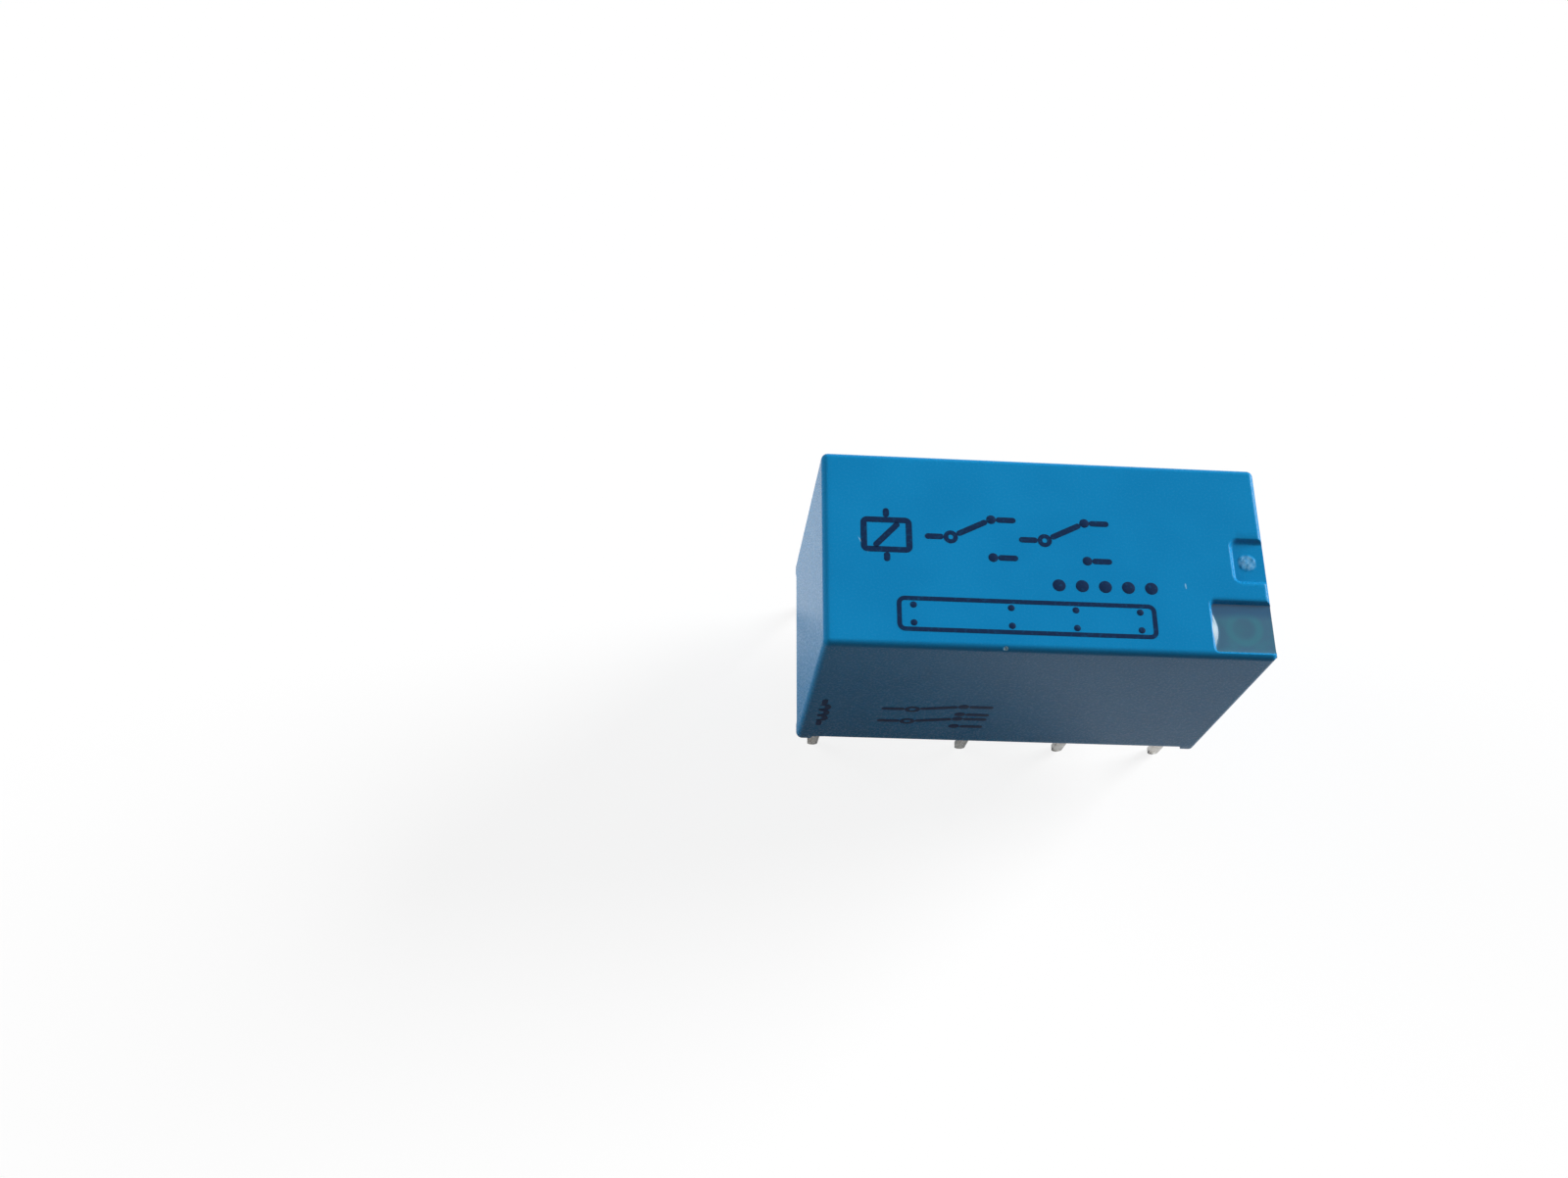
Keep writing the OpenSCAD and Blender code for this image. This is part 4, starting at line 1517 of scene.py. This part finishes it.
@dataclass
class FrontPrint(Marks):
    """A small connection diagram, low on the front."""

    panel: Panel = Panel.FRONT
    wide_stroke: float = 0.33
    coil: Point = (-9.25, 3.65)
    loop_r: float = 0.36
    loop_gap: float = 0.004
    lead_loops: Span = (3.02, 4.8)
    changeover_x: float = -6.4
    changeover_z: Span = (4.45, 2.85)
    changeover_length: float = 5.2
    changeover_rise: float = 0.5

    def half_loop(self, middle: Point) -> None:
        """Adds one half loop of the coil.

        The strip of width w runs a half turn between the radii r - w/2 and r + w/2. Its outer line
        is held just inside the heights -r and r, where the next half loop begins, and each end
        comes to a short point.

        Args:
            middle: Middle of the half circle.
        """
        r, w = self.loop_r, self.stroke
        way = ways(np.radians(np.linspace(90, -90, 25)))
        high = r - self.loop_gap
        outer = np.clip((r + w / 2) * way, (0, -high), (2 * r, high))
        inner = (r - w / 2) * way
        first, last = ((outer[[i]] + inner[[i]]) / 2 - (w / 4, 0) for i in (0, -1))
        self.band(*(np.concatenate([first, line, last]) + middle for line in (outer, inner)))

    def draw(self) -> None:
        """Draws a coil of three half loops with its leads, and two changeovers."""
        x, z = self.coil
        for place in (-1, 0, 1):
            self.half_loop((x, z + 2 * self.loop_r * place))
        lead_x = x + self.stroke / 2
        for side in (-1, 1):
            lead = [(lead_x, z + side * loops * self.loop_r) for loops in self.lead_loops]
            self.ribbon(lead, self.stroke)
        for level in self.changeover_z:
            self.changeover((self.changeover_x, level), self.changeover_length,
                            self.changeover_rise, self.wide_stroke)


@dataclass
class Finishes:
    """Every finish of the relay, by the record's slot."""

    cover: Cover
    effects: SharedEffects = field(default_factory=SharedEffects)

    def scuffs(self) -> tuple[Scuff, ...]:
        """Lists the cover's wear: the broken stub, two scratches and the nick.

        Returns:
            The scuffs.
        """
        cover, top = self.cover, self.cover.top
        stub = (cover.half_length - cover.stub_x, 0.0, top - cover.gate_depth)
        return (
            Scuff(stub, angle_deg=20, size=(0.46, 0.42, 0.3), strength=0.24),
            Scuff((6.11, -1.35, top), angle_deg=85, size=(0.16, 0.04, 0.1), strength=0.55),
            Scuff((-8.15, 0.1, top), angle_deg=60, size=(0.5, 0.04, 0.1), strength=0.4),
            Scuff(cover.nick, angle_deg=0, size=(0.13, 0.13, 0.13), strength=0.9),
        )

    def plastics(self) -> dict[Slot, Finish]:
        """Returns the finishes of the moulded pieces."""
        return {
            Slot.COVER: MouldedPlastic(
                "blue cover plastic", color=(0.002, 0.202, 0.448), deep=(0.001, 0.188, 0.424),
                roughness=(0.22, 0.3), grain_per_mm=9.0, relief_mm=0.002, specular=0.12,
                scuffs=self.scuffs()),
            Slot.BASE: MouldedPlastic(
                "blue base plastic", color=(0.01, 0.2, 0.42), deep=(0.008, 0.16, 0.36),
                roughness=(0.3, 0.45), grain_per_mm=8.0, relief_mm=0.012, edge_mm=0.05),
            Slot.BOBBIN: MouldedPlastic(
                "bobbin plastic", color=(0.66, 0.63, 0.54), deep=(0.56, 0.53, 0.44),
                roughness=(0.4, 0.55), grain_per_mm=6.0, relief_mm=0.015, edge_mm=0.05),
            Slot.CARD: MouldedPlastic(
                "card plastic", color=(0.78, 0.75, 0.68), deep=(0.7, 0.67, 0.6),
                roughness=(0.4, 0.55), grain_per_mm=6.0, relief_mm=0.012, edge_mm=0.05),
        }

    def metals(self) -> dict[Slot, Finish]:
        """Returns the finishes of the metal pieces."""
        return {
            Slot.TINNED: RolledMetal(
                "tinned strip", color=(0.68, 0.67, 0.64), dull=(0.5, 0.47, 0.43),
                roughness=(0.24, 0.4), stretch=(2.0, 2.0, 0.35), relief_mm=0.004),
            Slot.IRON: RolledMetal(
                "plated iron", color=(0.58, 0.58, 0.57), dull=(0.48, 0.47, 0.44),
                roughness=(0.32, 0.46), stretch=(0.4, 2.5, 2.5), relief_mm=0.006),
            Slot.BRONZE: RolledMetal(
                "spring bronze", color=(0.68, 0.44, 0.21), dull=(0.52, 0.32, 0.15),
                roughness=(0.22, 0.36), stretch=(0.3, 4.0, 4.0), relief_mm=0.003),
            Slot.SILVER: RolledMetal(
                "contact silver", color=(0.84, 0.82, 0.78), dull=(0.66, 0.62, 0.56),
                roughness=(0.16, 0.28), stretch=(2.0, 2.0, 2.0), relief_mm=0.001),
            Slot.SOLDERED: RolledMetal(
                "soldered copper", color=(0.58, 0.42, 0.3), dull=(0.62, 0.6, 0.56),
                roughness=(0.2, 0.4), stretch=(1.0, 1.0, 6.0), relief_mm=0.03, edge_mm=0.04),
            Slot.ENAMEL: EnamelledWire(
                "enamelled copper wire", color=(0.55, 0.17, 0.06), dark=(0.34, 0.09, 0.03),
                roughness=0.28),
        }

    def resins(self) -> dict[Slot, Finish]:
        """Returns the finishes of the cast and printed pieces."""
        return {
            # The seal resin's pale colour around the pins is a painted highlight.
            Slot.SEAL: MilkyResin(
                "milky seal resin", milk=(0.36, 0.42, 0.47), thin=(0.06, 0.28, 0.46),
                leg=(0.02, 0.11, 0.2), pin_highlight=(0.78, 0.78, 0.76), fade_mm=0.16,
                roughness=(0.12, 0.3)),
            # The vent resin's dark and shaded colours are painted shade: over the vent hole, and
            # along the pocket's rear wall.
            Slot.VENT: PocketResin(
                "vent pocket resin", color=(0.028, 0.112, 0.19), green=(0.022, 0.145, 0.205),
                dark=(0.018, 0.09, 0.142), shaded=(0.008, 0.072, 0.165),
                hole=(*self.cover.hole, self.cover.top), ring_r=0.7, roughness=0.18),
            Slot.INK: PrintedInk(
                "marking ink", color=(0.002, 0.016, 0.055), thin=(0.003, 0.06, 0.15),
                roughness=0.6),
        }

    def build(self) -> dict[Slot, Material]:
        """Makes every material and returns them by slot."""
        recipes = self.plastics() | self.metals() | self.resins()
        return {slot: recipe.build(self.effects) for slot, recipe in recipes.items()}


def dress_nodes(materials: dict[Slot, Material]) -> None:
    """Gives each CAD node the finish of the slot that the record names for it.

    Args:
        materials: The materials by slot.
    """
    for row in frame["record"]["subparts"]:
        mesh = frame["nodes"][row["node"]].data
        mesh.materials.clear()
        mesh.materials.append(materials[Slot(row["material_slot"])])
        LOG.info("%s: %s", row["node"], row["material_slot"])


# The studio


@dataclass(frozen=True)
class Lamp:
    """A broad soft lamp far away: the way towards it, its strength and how wide it looks."""

    name: str
    way: Place
    strength: float
    angle_deg: float
    lights: LampUse

    def build(self) -> None:
        """Makes the lamp as a sun with a wide disc, which lights either surfaces or reflections."""
        data = bpy.data.lights.new(self.name, "SUN")
        data.energy, data.angle = self.strength, math.radians(self.angle_deg)
        holder = show(bpy.data.objects.new(self.name, data))
        holder.rotation_mode = "QUATERNION"
        holder.rotation_quaternion = Vector(self.way).to_track_quat("Z", "Y")
        holder.visible_glossy = self.lights is LampUse.GLOSS
        holder.visible_diffuse = self.lights is LampUse.SURFACE


@dataclass
class Studio:
    """A pale floor, soft lamps behind the relay, dim light from above, and the camera."""

    floor_z: float
    floor_reach: float = 3.0
    floor_white: float = 1.0
    floor_bounce: float = 0.3
    floor_mirrored: float = 0.88
    camera_lift: float = 0.85
    low_sky: float = 0.02
    high_sky: float = 0.3
    sky_power: float = 2.0
    gloss_sky: float = 1.0
    camera_place: Place = (-16.7561, -30.1746, 72.7524)
    camera_way: Place = (0.076652, 0.416483, -0.905906)
    camera_up: Place = (-0.036265, 0.909143, 0.414903)
    camera_clip: Span = (0.001, 20.0)
    lens_mm: float = 36.0
    sensor_mm: float = 36.0
    lamps: tuple[Lamp, ...] = (
        Lamp("back lamp", (0.82, 0.42, 0.37), 5.9, 30.0, LampUse.SURFACE),
        Lamp("left lamp", (-0.92, 0.33, 0.2), 2.2, 30.0, LampUse.SURFACE),
        Lamp("edge lamp", (0.88, 0.4, 0.25), 1.6, 28.0, LampUse.GLOSS),
    )

    @staticmethod
    def seen_ray(g: Graph) -> tuple[Socket, Socket]:
        """Tells if the camera sees a point itself, and if it sees it in or through a surface."""
        rays = g.put("LightPath").outputs
        return (rays["Is Camera Ray"],
                g.math("MAXIMUM", rays["Is Glossy Ray"], rays["Is Transmission Ray"]))

    def build_floor(self) -> None:
        """Makes the floor.

        It is white to the eye and lifted so that the shadow stays light, and clear from below.
        """
        r, z = self.floor_reach, self.floor_z
        mesh = bpy.data.meshes.new("floor")
        mesh.from_pydata([(-r, -r, z), (r, -r, z), (r, r, z), (-r, r, z)], [], [(0, 1, 2, 3)])
        material = bpy.data.materials.new("pale floor")
        material.use_nodes = True
        g = Graph.emptied(material.node_tree)
        camera, mirrored = self.seen_ray(g)
        white, grey, dim = (
            (value,) * 3 for value in (self.floor_white, self.floor_bounce, self.floor_mirrored))
        paper = g.put("BsdfDiffuse", {"Color": g.mix(camera, g.mix(mirrored, grey, dim), white)})
        glow = g.put("Emission", {"Strength": 1.0})
        lift = g.math("MULTIPLY", camera, self.camera_lift)
        face = g.put("MixShader", {0: lift, 1: paper.outputs[0], 2: glow.outputs[0]})
        clear = g.put("BsdfTransparent")
        back = g.put("NewGeometry").outputs["Backfacing"]
        both = g.put("MixShader", {0: back, 1: face.outputs[0], 2: clear.outputs[0]})
        g.put("OutputMaterial", {"Surface": both.outputs[0]})
        mesh.materials.append(material)
        show(bpy.data.objects.new("floor", mesh))

    def build_world(self) -> None:
        """Makes the world: white to the eye, plain in reflections, and brighter overhead."""
        world = bpy.data.worlds.new("room")
        bpy.context.scene.world = world
        world.use_nodes = True
        g = Graph.emptied(world.node_tree)
        camera, mirrored = self.seen_ray(g)
        way = g.put("SeparateXYZ", {0: g.put("TexCoord").outputs["Generated"]}).outputs["Z"]
        overhead = g.math("POWER", g.math("MAXIMUM", way, 0.0), self.sky_power)
        light = g.math("ADD", g.math("MULTIPLY", overhead, self.high_sky), self.low_sky)
        inputs = {0: mirrored, 2: light, 3: self.gloss_sky}
        lit = g.put("Mix", inputs, data_type="FLOAT").outputs[0]
        strength = g.math("MAXIMUM", camera, lit)
        background = g.put("Background", {"Color": (1, 1, 1, 1), "Strength": strength})
        g.put("OutputWorld", {"Surface": background.outputs[0]})

    def build_camera(self) -> None:
        """Makes the camera at the photograph's viewing angle, with its axes as matrix columns."""
        data = bpy.data.cameras.new("camera")
        data.lens, data.sensor_width = self.lens_mm, self.sensor_mm
        data.clip_start, data.clip_end = self.camera_clip
        camera = show(bpy.data.objects.new("camera", data))
        way, up = Vector(self.camera_way).normalized(), Vector(self.camera_up).normalized()
        turn = Matrix((way.cross(up), up, -way)).transposed()
        camera.matrix_world = Matrix.Translation(Vector(self.camera_place) * MM) @ turn.to_4x4()
        bpy.context.scene.camera = camera

    def build(self) -> None:
        """Makes the camera, the floor, the world and the lamps, and sets the plain view."""
        self.build_camera()
        self.build_floor()
        self.build_world()
        for lamp in self.lamps:
            lamp.build()
        bpy.context.scene.view_settings.view_transform = "Standard"


def main() -> None:
    """Builds the studio, the finishes and the pieces in order."""
    logging.basicConfig(level=logging.INFO, format="%(name)s %(message)s")
    Studio(floor_z=CAD_BOX[0].z - FLOOR_GAP_MM * MM).build()
    cover = Cover.from_frame()
    materials = Finishes(cover).build()
    dress_nodes(materials)
    cover.build(materials[Slot.COVER])
    VentSeal(cover).build(materials[Slot.VENT])
    BaseSeal.from_frame().build(materials[Slot.SEAL])
    Winding.from_frame().build(materials[Slot.ENAMEL])
    RoofPrint(cover).build(materials[Slot.INK])
    FrontPrint(cover).build(materials[Slot.INK])


if __name__ == "__main__":
    main()
